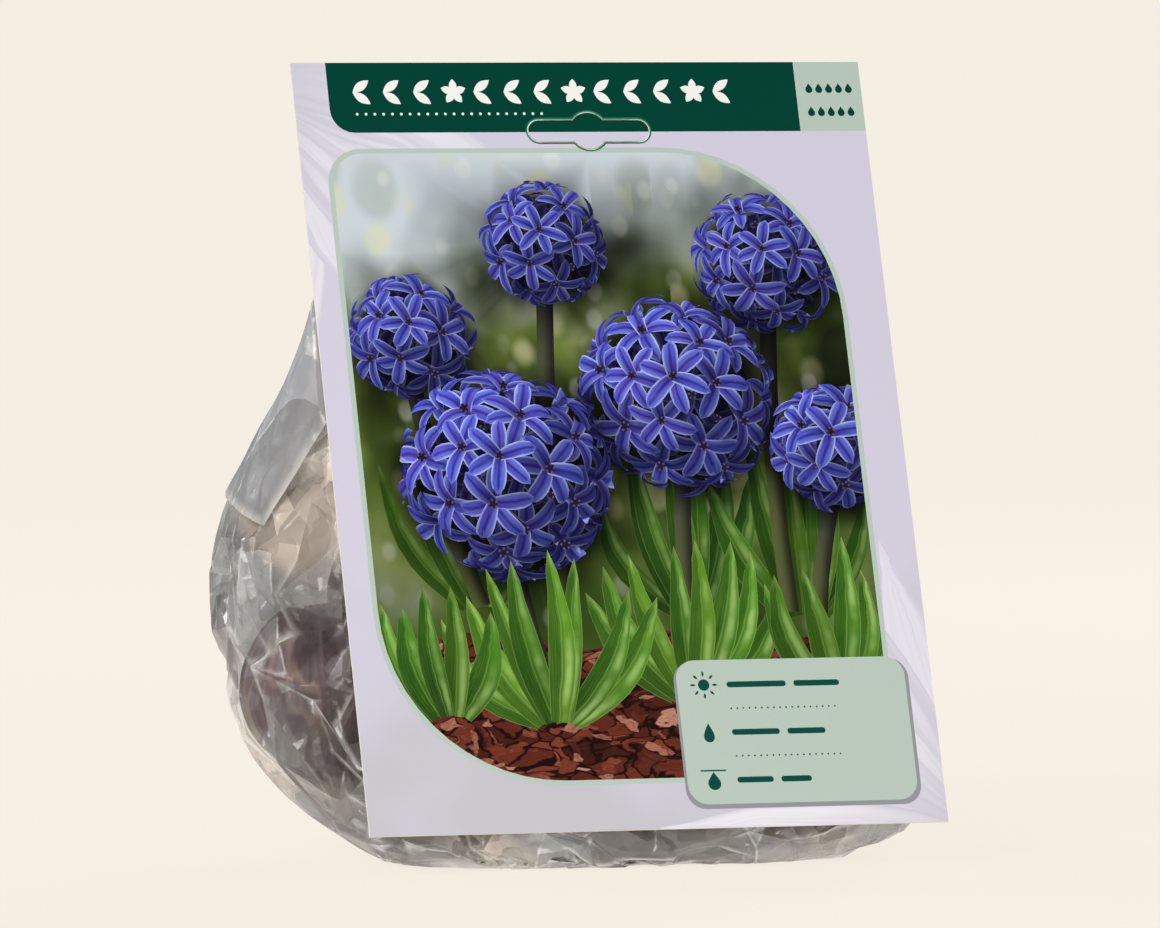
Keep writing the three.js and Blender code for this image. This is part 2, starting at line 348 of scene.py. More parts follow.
def petal(middle, facing, across, size, rng, number, sunk):
    """One strap of a floret as a shape, from its throat to its tip."""
    side = np.cross(facing, across)
    u = np.linspace(0, 1, FLORET["steps"])
    angle = FLORET["rise"] + (FLORET["curl"] * rng.uniform(0.85, 1.12) - FLORET["rise"]) * u ** 0.85
    step = size * FLORET["length"] * rng.uniform(0.9, 1.08) / (len(u) - 1)
    heading = np.sin(angle)[:, None] * across + np.cos(angle)[:, None] * facing
    line = middle + np.concatenate([[[0, 0, 0]], np.cumsum(heading[1:] * step, axis=0)])
    line += side * (rng.uniform(-0.14, 0.14) * size * FLORET["length"] * u ** 2)[:, None]
    widths = size * FLORET["width"] * (1 - 0.5 * (1 - u) ** 2) * (1 - u ** 4) ** 0.7
    surface = np.sin(angle)[:, None] * facing - np.cos(angle)[:, None] * across
    seen = np.where(surface[:, 2] < 0, -1, 1)
    light = 0.42 + 0.75 * np.clip(surface @ SUN * seen, 0, 1) + 0.1 * (seen < 0)
    left = (line + side * widths[:, None])[:, :2]
    other = (line - side * widths[:, None])[:, :2]
    outline = np.concatenate([left, other[::-1][1:]])
    reach = widths * np.linalg.norm(side[:2])
    return Shape("petal", outline, line[:, :2], reach, light * sunk, rng.random(), number)


def floret(middle, facing, size, rng, sunk):
    """Six straps, three under and three over, and the throat with its anthers."""
    number = len(florets)
    florets.append((middle[:2], size * FLORET["length"] * 0.85))
    helper = np.cross(facing, [0.3, 0.9, 0.2])
    first = helper / np.linalg.norm(helper)
    second = np.cross(facing, first)
    spin = rng.uniform(0, np.pi / 3)
    for j in (0, 2, 4, 1, 3, 5):
        angle = spin + j * np.pi / 3 + rng.uniform(-0.12, 0.12)
        across = first * np.cos(angle) + second * np.sin(angle)
        picture.append(petal(middle, facing, across, size, rng, number, sunk))
    if facing[2] < 0.45:
        return
    throat = middle[:2] + facing[:2] * size * 1.5
    picture.append(Shape("throat", ring(throat, size * 1.15, 9), light=sunk, floret=number))
    for j in range(5):
        spot = ring(throat, size * 0.95, 5, spin)[j]
        picture.append(Shape("anther", ring(spot, size * 0.33, 5, j), light=sunk, floret=number))


def head(middle, radius, count, size, rng, shade=1.0):
    """A round head: a dim inner layer of florets, and over it a bright outer one, the nearest drawn last."""
    for layer, (inset, sunk) in enumerate(((0.72, 0.5), (1.0, 1.0))):
        placed = []
        for i in range(count):
            near = 1 - (i + 0.5) / count
            turn = i * np.pi * (3 - math.sqrt(5)) + layer * 1.7 + rng.uniform(-0.2, 0.2)
            out = math.sqrt(1 - near ** 2)
            placed.append(np.array([out * math.cos(turn), out * math.sin(turn), near]))
        for facing in sorted(placed, key=lambda f: f[2]):
            spot = np.array([*middle, 0.0]) + facing * (radius - size * FLORET["length"] * 0.5) * inset
            round_light = 0.72 + 0.36 * max(0.0, float(facing @ SUN))
            floret(spot, facing, size * rng.uniform(0.9, 1.08), rng, sunk * shade * round_light)


print("a full floret is", 2 * FLORET["length"], "mm across at most")

# %% [markdown]
# ## Leaves, stems and bark
# The leaves are long straps that leave the ground together and lean apart. Their spine bends a little more
# towards the tip. They are drawn from the back forwards, and each one's tone is its own.

# %% Leaves and stems
def blade(ink, foot, tip, bend, width, rng, light=1.0, steps=9):
    """A strap from its foot to its tip, bowed sideways by bend."""
    foot, tip = np.array(foot, float), np.array(tip, float)
    u = np.linspace(0, 1, steps)
    side = np.array([-(tip - foot)[1], (tip - foot)[0]]) / np.linalg.norm(tip - foot)
    spine = foot + np.outer(u, tip - foot) + np.outer(bend * np.sin(u * np.pi) + 0.5 * bend * u ** 3, side)
    widths = width * (0.62 + 0.38 * np.sin(np.pi * np.minimum(u * 1.3, 1))) * (1 - u ** 7) ** 0.8
    if ink == "stem":
        widths = np.full(steps, width)
    picture.append(Shape(ink, strip(spine, widths), spine, widths, light, rng.random()))


def clump(foot, height, count, spread, rng, light=1.0):
    """The leaves of one plant, the outer ones first. A lean of -1 or 1 is the outermost."""
    for i in np.argsort(-np.abs(np.arange(count) - (count - 1) / 2)):
        lean = (i - (count - 1) / 2) / count * 2
        root = (foot[0] + lean * 5, foot[1])
        tip_x = foot[0] + lean * spread + rng.uniform(-3, 3)
        tip_y = foot[1] + height * (1 - 0.3 * abs(lean)) * rng.uniform(0.85, 1.1)
        bend = -lean * 6 + rng.uniform(-2, 2)
        width = rng.uniform(2.9, 4.0)
        blade("leaf", root, (tip_x, tip_y), bend, width, rng, light * rng.uniform(0.72, 1.1))


def draw_flowers():
    """Everything in the picture's window, from the back forwards."""
    rng = np.random.default_rng(11)
    heads = [ # middle, radius, florets in a layer, size, shade, foot of its stem
        ((-14, 152), 19, 15, 0.8, 0.82, (-18, 60)),
        ((44, 146), 22, 17, 0.85, 0.85, (40, 55)),
        ((-51, 128), 19, 15, 0.85, 0.85, (-40, 58)),
        ((17, 112), 29, 24, 1.0, 0.97, (14, 34)),
        ((56, 98), 19, 15, 0.95, 0.9, (46, 40)),
        ((-30, 92), 31, 26, 1.05, 1.0, (-22, 28)),
    ]
    for x, y, reach, count in ((-40, 58, 52, 6), (14, 56, 50, 7), (44, 54, 52, 6)):
        clump((x, y), reach, count, 22, rng, 0.62)
    for middle, radius, count, size, shade, foot in heads:
        blade("stem", foot, (middle[0], middle[1] - radius * 0.6), 2, 2.2, rng, 0.5 + 0.4 * shade, 5)
        head(middle, radius, count, size, rng, shade)
        if shade > 0.95:
            clump((foot[0] - 2, foot[1]), 44, 8, 30, rng, 1.0)
    clump((50, 33), 40, 6, 20, rng, 0.95)
    clump((-52, 30), 36, 5, 16, rng, 0.9)


draw_flowers()
corner_count = sum(len(shape.outline) for shape in picture)
print("picture:", len(picture), "shapes,", len(florets), "florets,", corner_count, "points")

# %% [markdown]
# ## The layout of the card
# The ground is pale lilac with a few broad petals. A green band crosses the top and holds a row of leaves
# and blossoms, and a mint box at its end holds one small bulb for each bulb in the bag. A mint panel near
# the foot shows how to plant them. The shapes are listed in the order in which they are printed, and
# whatever belongs to the picture is kept inside its window.

# %% The printed shapes
SHEET = ((-75, 0), (75, 200))
SLOT = {"width": 32.4, "arm": 6.2, "bump": 5.1, "middle": (1.2, 181.8), "gap": 0.3, "line": 0.4}
WINDOW_BOX = ((-67, 13), (63, 176))
WINDOW_CORNERS = (44, 8, 44, 8)
LINE = 1.3 # the window's mint border
BAND_FOOT = 181.5
BOX_LEFT = 57.5 # where the mint box on the band begins
SQUARE_CORNERS = (0, 0, 0, 0)
GARLAND = {"start": -57.0, "step": 7.9, "level": 192.2, "count": 13} # the row of marks on the band
RULE = {"start": -59, "step": 2.3, "level": 186.4, "count": 22, "dot": 0.38} # the dots under it
BARK_EDGE = ((70, 44), (52, 50), (30, 46), (8, 51), (-14, 46), (-40, 52), (-70, 47)) # the top of the bark


def window_outline(grow=0.0):
    """The window of the picture, with two soft corners and two tight ones."""
    (left, low), (right_side, high) = WINDOW_BOX
    corners = [radius + grow for radius in WINDOW_CORNERS]
    return panel((left - grow, low - grow), (right_side + grow, high + grow), corners, 14)


def slot_outline(grow=0.0):
    """The hang slot: a bar with round ends and a round bump above and below its middle."""
    x, y = SLOT["middle"]
    arm, bump, half = SLOT["arm"] / 2 + grow, SLOT["bump"] + grow, SLOT["width"] / 2 + grow
    meet = math.asin(arm / bump)
    share = (math.pi - 2 * meet) / (2 * math.pi)
    return np.concatenate([
        ring((x, y), bump, 11, meet, share),
        ring((x - half + arm, y), arm, 11, math.pi / 2, 0.5),
        ring((x, y), bump, 11, math.pi + meet, share),
        ring((x + half - arm, y), arm, 11, -math.pi / 2, 0.5),
    ])


def broad_petal(foot, angle, length, width, ink):
    """One of the broad soft petals in the ground."""
    u = np.linspace(0, 1, 12)
    heading = np.array([math.cos(angle), math.sin(angle)])
    spine = np.array(foot) + np.outer(u * length, heading)
    widths = width * np.sin(np.pi * (0.06 + 0.94 * u) ** 0.8) ** 0.75 * (1 - u ** 8)
    return Shape(ink, strip(spine, np.maximum(widths, 0)), spine, widths, 1.0, angle % 1)


def leaf_mark(foot, angle, length, width, ink):
    """A small plain leaf, as a printer's ornament."""
    u = np.linspace(0, 1, 9)
    spine = np.array(foot) + np.outer(u * length, [math.cos(angle), math.sin(angle)])
    return Shape(ink, strip(spine, width * np.sin(np.pi * u) ** 0.9), spine, None)


def garland():
    """White leaves in pairs along the band, with a blossom after every third pair."""
    marks = []
    x, y = GARLAND["start"], GARLAND["level"]
    for i in range(GARLAND["count"]):
        if i % 4 == 3:
            for j in range(5):
                marks.append(leaf_mark((x, y), j * 2 * np.pi / 5 + np.pi / 2, 3.4, 1.0, "white"))
        else:
            marks += [leaf_mark((x - 2.6, y), lean, 5.4, 1.15, "white") for lean in (0.62, -0.62)]
        x += GARLAND["step"]
    for i in range(RULE["count"]):
        spot = (RULE["start"] + i * RULE["step"], RULE["level"])
        marks.append(Shape("white", ring(spot, RULE["dot"], 7)))
    return marks


def small_bulb(middle, size, ink):
    """A bulb in outline: round below, with a nose above."""
    angles = np.linspace(0.5 * np.pi, 2.5 * np.pi, 17)[:-1]
    nose = np.exp(-((angles - 0.5 * np.pi) / 0.33) ** 2) + np.exp(-((angles - 2.5 * np.pi) / 0.33) ** 2)
    radius = size * (1 + 0.75 * nose)
    return Shape(ink, np.array(middle) + np.stack([np.cos(angles), np.sin(angles)], 1) * radius[:, None])


def sun_sign(x, y):
    """A disc with eight rays."""
    disc = ring((x, y), 1.5, 14)
    rays = []
    for angle in np.arange(8) * np.pi / 4:
        foot = np.array([x, y]) + 2.1 * np.array([math.cos(angle), math.sin(angle)])
        rays.append(leaf_mark(foot, angle, 1.5, 0.3, "deep_green"))
    return [Shape("deep_green", disc), *rays]


def water_sign(x, y):
    """A drop that points up."""
    turn = np.linspace(0, 2 * np.pi, 28, endpoint=False)
    drop = np.stack([2.0 * np.sin(turn) * np.sin(turn / 2) ** 1.5, 2.5 * np.cos(turn)], 1)
    return [Shape("deep_green", np.array([x, y]) + drop)]


def depth_sign(x, y):
    """A bulb under a line, which is the ground."""
    line = panel((x - 3.3, y + 2.3), (x + 3.3, y + 2.7), SQUARE_CORNERS)
    return [small_bulb((x, y - 0.8), 1.7, "deep_green"), Shape("deep_green", line)]


def planting_panel(x, y, width, height):
    """Three signs with two bars beside each and dotted rules between: sun, water and depth."""
    soft = (5, 5, 5, 5)
    step = (height - 12.5) / 2
    made = [Shape("soft_shade", panel((x - 0.7, y - 1.2), (x + width + 0.9, y + height - 0.4), soft)),
            Shape("mint", panel((x, y), (x + width, y + height), soft))]
    for row, sign in enumerate((sun_sign, water_sign, depth_sign)):
        level = y + height - 6.4 - row * step
        made += sign(x + 7, level)
        for start, length in ((13, 15.5 - 3 * row), (30.5 - 3 * row, 12 - 2 * row)):
            low = (x + start, level - 0.75)
            made.append(Shape("deep_green", panel(low, (low[0] + length, level + 0.75), (0.7,) * 4, 4)))
        if row < 2:
            rule = level - step / 2
            made += [Shape("deep_green", ring((x + 13.5 + i * 1.6, rule), 0.26, 6)) for i in range(18)]
    return made


def fan(foot, start, step, lengths, count, width):
    """Broad petals that spread from one foot, by angles in degrees. Their lengths take turns."""
    angles = [math.radians(start + turn * step) for turn in range(count)]
    return [broad_petal(foot, angle, lengths[turn % len(lengths)], width, "pale_petal")
            for turn, angle in enumerate(angles)]


WINDOW = window_outline()
ground = [Shape("lilac", panel(*SHEET, SQUARE_CORNERS))]
ground += fan((80, -6), 88, 12.5, (74, 81, 88), 9, 9.5)
ground += fan((-82, 196), -98, 13, (66, 74), 8, 9)
window = [Shape("mint", window_outline(LINE)),
          Shape("garden", WINDOW),
          Shape("bark", [(-70, 0), (70, 0), *BARK_EDGE])]
band = [Shape("band", panel((-66, BAND_FOOT), SHEET[1], (6, 0, 0, 0))),
        Shape("mint", panel((BOX_LEFT, BAND_FOOT), SHEET[1], SQUARE_CORNERS))]
band += garland()
band += [small_bulb((61 + 2.65 * (i % 5), 192.6 - 6.2 * (i // 5)), 0.95, "band") for i in range(10)]
loop, hole = slot_outline(SLOT["line"]), slot_outline()
cut_line = Shape("cut_line", np.concatenate([loop, loop[:1], hole[:1], hole[:0:-1], hole[:1], loop[:1]]))
shapes = ground + window[:2]
FIRST_OF_PICTURE = len(shapes)
shapes += window[2:] + picture
LAST_OF_PICTURE = len(shapes)
shapes += planting_panel(8, 6, 60, 37) + band + [cut_line]
print("print:", len(shapes), "shapes")

# %% [markdown]
# ## Cutting the face along the print
# Blender's Delaunay triangulation cuts a flat face along any set of lines. Its time grows with the square
# of the number of points, so the sheet is cut in square tiles, one at a time. Lines that a later shape
# covers are dropped first. After that each triangle takes the last shape that it lies in, as wet ink covers
# dry ink.

# %% Triangles of the sheet
TILE = 25.0


def inside(points, outline):
    """Which points lie inside a closed outline, by how often it winds round them."""
    a, b = outline, np.roll(outline, -1, axis=0)
    x, y = points[:, :1], points[:, 1:]
    side = (b[:, 0] - a[:, 0]) * (y - a[:, 1]) - (x - a[:, 0]) * (b[:, 1] - a[:, 1])
    upward = (a[:, 1] <= y) & (b[:, 1] > y) & (side > 0)
    downward = (a[:, 1] > y) & (b[:, 1] <= y) & (side < 0)
    return upward.sum(1) != downward.sum(1)


def found_in(points, outline):
    """The numbers of the points that lie inside an outline."""
    low, high = outline.min(0), outline.max(0)
    near = np.nonzero(((points > low) & (points < high)).all(1))[0]
    return near[inside(points[near], outline)]


def clip_lines(a, b, low, high):
    """The parts of the lines from a to b that lie in a box."""
    way = b - a
    safe = np.where(np.abs(way) < 1e-12, 1e-12, way)
    enter, leave = (low - a) / safe, (high - a) / safe
    first = np.minimum(enter, leave).max(1).clip(0, 1)
    last = np.maximum(enter, leave).min(1).clip(0, 1)
    kept = last - first > 1e-9
    return (a + way * first[:, None])[kept], (a + way * last[:, None])[kept]


def in_picture(number):
    return FIRST_OF_PICTURE <= number < LAST_OF_PICTURE


def shown_lines(outlines, extra):
    """The lines of the outlines that no later shape covers. The last extra outlines are no shapes."""
    starts = np.concatenate(outlines)
    ends = np.concatenate([np.roll(o, -1, axis=0) for o in outlines])
    owner = np.repeat(np.arange(len(outlines)), [len(o) for o in outlines])
    shown = np.ones(len(starts), bool)
    for number, outline in enumerate(outlines[:len(outlines) - extra]):
        over = np.zeros(len(starts), int)
        for points in (starts, ends, (starts + ends) / 2):
            over[found_in(points, outline)] += 1
        from_here = FIRST_OF_PICTURE if in_picture(number) else 0
        shown &= ~((over == 3) & (owner < number) & (owner >= from_here))
    return starts[shown], ends[shown]


def cut_sheet(outlines, extra, width, height):
    """Triangles of a sheet of that size, cut along every outline: the points, and three for each one."""
    starts, ends = shown_lines(outlines, extra)
    points, corners = [], []
    for column in range(round(width / TILE)):
        for row in range(round(height / TILE)):
            low = np.array([column * TILE - width / 2, row * TILE])
            a, b = clip_lines(starts, ends, low, low + TILE)
            tile_corners = low + np.array([[0, 0], [1, 0], [1, 1], [0, 1]]) * TILE
            line_ends = np.concatenate([a, b, tile_corners])
            n = len(a)
            lines = [(i, i + n) for i in range(n)] + [(2 * n + i, 2 * n + (i + 1) % 4) for i in range(4)]
            made = geometry.delaunay_2d_cdt([Vector(p) for p in line_ends], lines, [], 0, 1e-4, False)
            first = sum(len(p) for p in points)
            points.append(np.array([tuple(p) for p in made[0]]))
            corners.append(np.array(made[2]) + first)
    points, corners = np.concatenate(points), np.concatenate(corners)
    _, keep, same = np.unique(points.round(3), axis=0, return_index=True, return_inverse=True)
    corners = same.reshape(-1)[corners]
    points = points[keep]
    sides = points[corners]
    one, two = sides[:, 1] - sides[:, 0], sides[:, 2] - sides[:, 0]
    area = one[:, 0] * two[:, 1] - one[:, 1] * two[:, 0]
    corners[area < 0] = corners[area < 0][:, ::-1]
    return points, corners[np.abs(area) > 1e-9]


tab_outline = slot_outline(-SLOT["gap"])
outlines = [shape.outline for shape in shapes] + [slot_outline(), tab_outline]
sheet_points, sheet_corners = cut_sheet(outlines, 2, CARD_W / MM, CARD_H / MM)
middles = sheet_points[sheet_corners].mean(1)
ink_of = np.zeros(len(middles), int)
in_window = np.zeros(len(middles), bool)
in_window[found_in(middles, WINDOW)] = True
for number, shape in enumerate(shapes):
    covered = found_in(middles, shape.outline)
    if in_picture(number):
        covered = covered[in_window[covered]]
    ink_of[covered] = number
print("sheet:", len(sheet_points), "points,", len(sheet_corners), "triangles")

# %% [markdown]
# ## Light and shade in the picture
# Each corner of a triangle gets a light and, on a petal or leaf, two numbers: how far along it lies, and
# how far across. They come from the nearest point of the shape's spine. A floret also darkens whatever was
# printed before it, below and to its right, so the heads look deep.

# %% Corner values
def along_spine(points, shape):
    """How far along and across a shape its points lie, and its light there."""
    spine = shape.spine
    way = spine[1:] - spine[:-1]
    size = (way ** 2).sum(1).clip(1e-9)
    from_start = points[:, None, :] - spine[None, :-1]
    share = ((from_start * way).sum(2) / size).clip(0, 1)
    gap = from_start - share[:, :, None] * way
    nearest = (gap ** 2).sum(2).argmin(1)
    rows = np.arange(len(points))
    along = (nearest + share[rows, nearest]) / (len(spine) - 1)
    way, gap = way[nearest], gap[rows, nearest]
    across = np.sign(way[:, 0] * gap[:, 1] - way[:, 1] * gap[:, 0]) * np.sqrt((gap ** 2).sum(1))
    steps = np.linspace(0, 1, len(spine))
    if shape.widths is not None:
        across = across / np.interp(along, steps, shape.widths).clip(0.25)
    return along, across.clip(-1, 1), np.interp(along, steps, shape.light)


SHADE = {"depth": 0.52, "inner": 0.5, "outer": 1.3, "fall": np.array([1.3, -1.7])}
flat_corners = sheet_points[sheet_corners]
corner_light = np.ones(flat_corners.shape[:2])
corner_strap = np.zeros(flat_corners.shape)
order = np.argsort(ink_of, kind="stable")
bounds_of = np.searchsorted(ink_of[order], np.arange(len(shapes) + 1))
for number, shape in enumerate(shapes):
    mine = order[bounds_of[number]:bounds_of[number + 1]]
    if len(mine) == 0:
        continue
    if shape.spine is None:
        corner_light[mine] = shape.light
        continue
    along, across, light = along_spine(flat_corners[mine].reshape(-1, 2), shape)
    corner_strap[mine] = np.stack([along, across], 1).reshape(-1, 3, 2)
    corner_light[mine] = light.reshape(-1, 3)
floret_of = np.array([shape.floret for shape in shapes])
for number, (middle, radius) in enumerate(florets):
    first = int(np.argmax(floret_of == number))
    gap = np.linalg.norm(flat_corners - (middle + SHADE["fall"]), axis=2) / radius
    fade = ((gap - SHADE["inner"]) / (SHADE["outer"] - SHADE["inner"])).clip(0, 1)
    under = (ink_of < first)[:, None] & in_window[:, None]
    corner_light *= np.where(under, 1 - SHADE["depth"] * (1 - fade * fade * (3 - 2 * fade)), 1)
print("light from", corner_light.min().round(2), "to", corner_light.max().round(2))

# %% [markdown]
# ## Board from the sheet
# The die presses the slot's outline through the board and leaves a thin line of air round the waste tab.
# So the triangles inside the tab's outline become the tab, those in the line go, and the rest is the card.
# Each gets side walls along its open edges and a bare back, which closes it.

# %% Boards
SHEET_SCALE = 100 # millimetres of card in one unit of the sheet map


def open_edges(corners):
    """The edges that only one triangle has, in its direction."""
    edges = np.concatenate([corners[:, [0, 1]], corners[:, [1, 2]], corners[:, [2, 0]]])
    both = {(int(a), int(b)) for a, b in edges}
    return [(a, b) for a, b in both if (b, a) not in both]


def back_triangles(points, edges, solid):
    """Triangles that fill the open edges, seen from the front, wherever solid says that there is board."""
    used = sorted({i for edge in edges for i in edge})
    number = {old: new for new, old in enumerate(used)}
    lines = [(number[a], number[b]) for a, b in edges]
    made = geometry.delaunay_2d_cdt([Vector(points[i]) for i in used], lines, [], 0, 1e-6, False)
    flat = np.array([tuple(p) for p in made[0]])
    corners = np.array(made[2])
    return np.array(used), corners[solid(flat[corners].mean(1))]


def filled_up(values, count, rest=0.0):
    """The values, and after them the same number over and over, to make up the count."""
    values = np.asarray(values)
    return np.concatenate([values, np.full((count - len(values), *values.shape[1:]), rest)])


def make_board(name, chosen, solid, inks):
    """A closed board from chosen triangles of the sheet: an ink on each, and a bare back and sides."""
    used, corners = np.unique(sheet_corners[chosen], return_inverse=True)
    corners = corners.reshape(-1, 3)
    points = sheet_points[used]
    edges = open_edges(corners)
    rim, back = back_triangles(points, edges, solid)
    behind = {int(old): len(points) + new for new, old in enumerate(rim)}
    walls = [(b, a, behind[a], behind[b]) for a, b in edges]
    rear = (back[:, ::-1] + len(points)).tolist()
    slots = list(dict.fromkeys(shape.ink for shape in shapes))
    materials = [inks[ink] for ink in (*slots, "cut_edge", "bare_back")]
    places = np.concatenate([on_card(points), on_card(points[rim], -BOARD / MM)])
    piece = new_piece(name, places, corners.tolist() + walls + rear, *materials)
    mesh = piece.data
    printed = np.array([slots.index(shape.ink) for shape in shapes])[ink_of[chosen]]
    numbers = np.concatenate([printed, np.full(len(walls), len(slots)), np.full(len(rear), len(slots) + 1)])
    mesh.polygons.foreach_set("material_index", numbers.astype(np.int32))
    tones = np.array([shape.tone for shape in shapes])[ink_of[chosen]]
    write(piece, "tone", "FACE", filled_up(tones, len(mesh.polygons)))
    write(piece, "light", "CORNER", filled_up(corner_light[chosen].ravel(), len(mesh.loops), 1.0))
    write_map(piece, "strap", filled_up(corner_strap[chosen].reshape(-1, 2), len(mesh.loops)))
    flat = np.concatenate([points, points[rim]])[[loop.vertex_index for loop in mesh.loops]]
    write_map(piece, "sheet", flat / SHEET_SCALE)
    mesh.validate()
    print(name, len(mesh.polygons), "faces")
    return piece


print("inks in use:", len({shape.ink for shape in shapes}))

# %% [markdown]
# ## Inks
# Every ink is a Principled surface under the same satin varnish: a little rough, with the faint mottle of
# pressed board. A strap's colour follows its own two numbers: deep along the middle, pale at the edge, and
# streaked lengthwise. The corner light then scales it.

# %% Plain inks
VARNISH = {"Roughness": 0.45, "Specular_IOR_Level": 0.04, "Coat_Weight": 0.02, "Coat_Roughness": 0.2}


def varnished(recipe, colour, light=None):
    """Prints a colour under varnish, scaled by the corner light where there is one."""
    if light is not None:
        colour = recipe.scaled(colour, light)
    pulp = recipe.noise(recipe.place(), 900, 3.0)
    sag = recipe.noise(recipe.place(), 14, 1.0)
    surface = recipe.bump(pulp, 0.00003, 0.35, recipe.bump(sag, 0.0016, 0.5))
    return recipe.finish(Base_Color=colour, Normal=surface, **VARNISH)


def plain_ink(name, colour, drift=0.06):
    """One flat ink, a trace uneven over the sheet."""
    recipe = Recipe(name)
    patch = recipe.noise(recipe.place(), 35, 3.0)
    dark = tuple(c * (1 - drift) for c in colour)
    return varnished(recipe, recipe.mix(patch, dark, colour))


def sheet_vector(recipe, stretch=(1, 1)):
    x, y = recipe.map("sheet")
    return recipe.vector(x * stretch[0], y * stretch[1])


def lilac_ink():
    """The ground: lilac above and greyer at the foot, with soft folds of colour."""
    recipe = Recipe("lilac")
    y = recipe.map("sheet")[1]
    soft = recipe.noise(sheet_vector(recipe), 2.6, 2.0, 0.4)
    grey = ((0.62 - y) + (soft - 0.5) * 1.6).between(0.0, 0.75)
    base = recipe.mix(grey, paint(214, 211, 231), paint(199, 200, 208))
    return varnished(recipe, base, recipe.attribute("light"))


def broad_petal_ink():
    """The broad petals in the ground: almost white, with soft folds along each and a shaded foot."""
    recipe = Recipe("pale_petal")
    along, across = recipe.map("strap")
    tone = recipe.attribute("tone")
    spread = recipe.vector(along * 0.5 + tone * 13, across * 2.4, tone * 7)
    fold = recipe.noise(spread, 1.6, 2.0, 0.5)
    base = recipe.mix(tone, paint(240, 239, 247), paint(229, 227, 241))
    base = recipe.mix(fold.between(0.4, 0.75) * 0.7, base, paint(204, 201, 222))
    base = recipe.mix((1 - along.between(0.0, 0.55)) * 0.6, base, paint(196, 194, 212))
    edge = across.maths("ABSOLUTE").between(0.8, 1.0)
    base = recipe.mix(edge * 0.55, base, paint(205, 204, 220))
    return varnished(recipe, base, recipe.attribute("light"))


def petal_ink():
    """Blue violet straps with pale edges, a dark middle and fine streaks along them."""
    recipe = Recipe("petal")
    along, across = recipe.map("strap")
    tone = recipe.attribute("tone")
    light = recipe.attribute("light")
    flat = across.maths("ABSOLUTE")
    streak = recipe.noise(recipe.vector(along * 1.2 + tone * 31, across * 6, tone * 17), 2.2, 3.0, 0.6)
    wander = recipe.noise(sheet_vector(recipe), 26, 2.0)
    rim = (flat + (wander - 0.5) * 0.3).between(0.66, 0.98)
    core = 1 - (flat + (streak - 0.5) * 0.35).between(0.04, 0.34)
    lit = (across + (streak - 0.5) * 0.6).between(-0.1, 0.75)
    base = recipe.mix(along.between(0.0, 0.75), paint(40, 36, 132), paint(80, 92, 210))
    base = recipe.mix(tone * 0.5, base, paint(104, 84, 204))
    base = recipe.mix(lit * 0.5, base, paint(120, 134, 232))
    base = recipe.mix(core * 0.75, base, paint(38, 30, 128))
    base = recipe.mix(streak.between(0.52, 0.78) * 0.35, base, paint(138, 152, 238))
    base = recipe.mix(rim * 0.85, base, paint(182, 196, 250))
    base = recipe.mix(along.between(0.82, 1.0) * 0.45, base, paint(150, 160, 242))
    return varnished(recipe, base, light)


def leaf_ink():
    """Strap leaves: one half in the light and one in shade, with a groove between and fine veins."""
    recipe = Recipe("leaf")
    along, across = recipe.map("strap")
    tone = recipe.attribute("tone")
    light = recipe.attribute("light")
    flat = across.maths("ABSOLUTE")
    vein = recipe.noise(recipe.vector(along * 1.5 + tone * 23, across * 9, tone * 11), 2.5, 2.0, 0.5)
    cloud = recipe.noise(sheet_vector(recipe), 9, 2.0, 0.5)
    base = recipe.mix(along.between(0.0, 0.8), paint(44, 92, 26), paint(74, 140, 40))
    base = recipe.mix(tone * 0.6, base, paint(112, 156, 44))
    shade = across.between(-0.35, 0.3) * (0.4 + 0.5 * cloud)
    base = recipe.mix(shade, base, paint(26, 66, 20))
    gloss = (1 - (across + 0.5).maths("ABSOLUTE").between(0.05, 0.42)) * cloud.between(0.35, 0.65)
    base = recipe.mix(gloss * 0.75, base, paint(170, 206, 122))
    base = recipe.mix((1 - flat.between(0.0, 0.1)) * 0.35, base, paint(150, 188, 92))
    base = recipe.mix(vein.between(0.45, 0.75) * 0.3, base, paint(132, 172, 66))
    base = recipe.mix(flat.between(0.9, 1.0) * 0.3, base, paint(176, 204, 120))
    base = recipe.mix(along.between(0.86, 1.0) * 0.35, base, paint(170, 190, 110))
    return varnished(recipe, base, light)


def stem_ink():
    """Stems: dark and brownish, lit down one side."""
    recipe = Recipe("stem")
    along, across = recipe.map("strap")
    base = recipe.mix(across.between(-0.9, 0.6), paint(44, 42, 30), paint(96, 104, 62))
    base = recipe.mix(along.between(0.3, 1.0) * 0.5, base, paint(48, 40, 66))
    return varnished(recipe, base, recipe.attribute("light"))


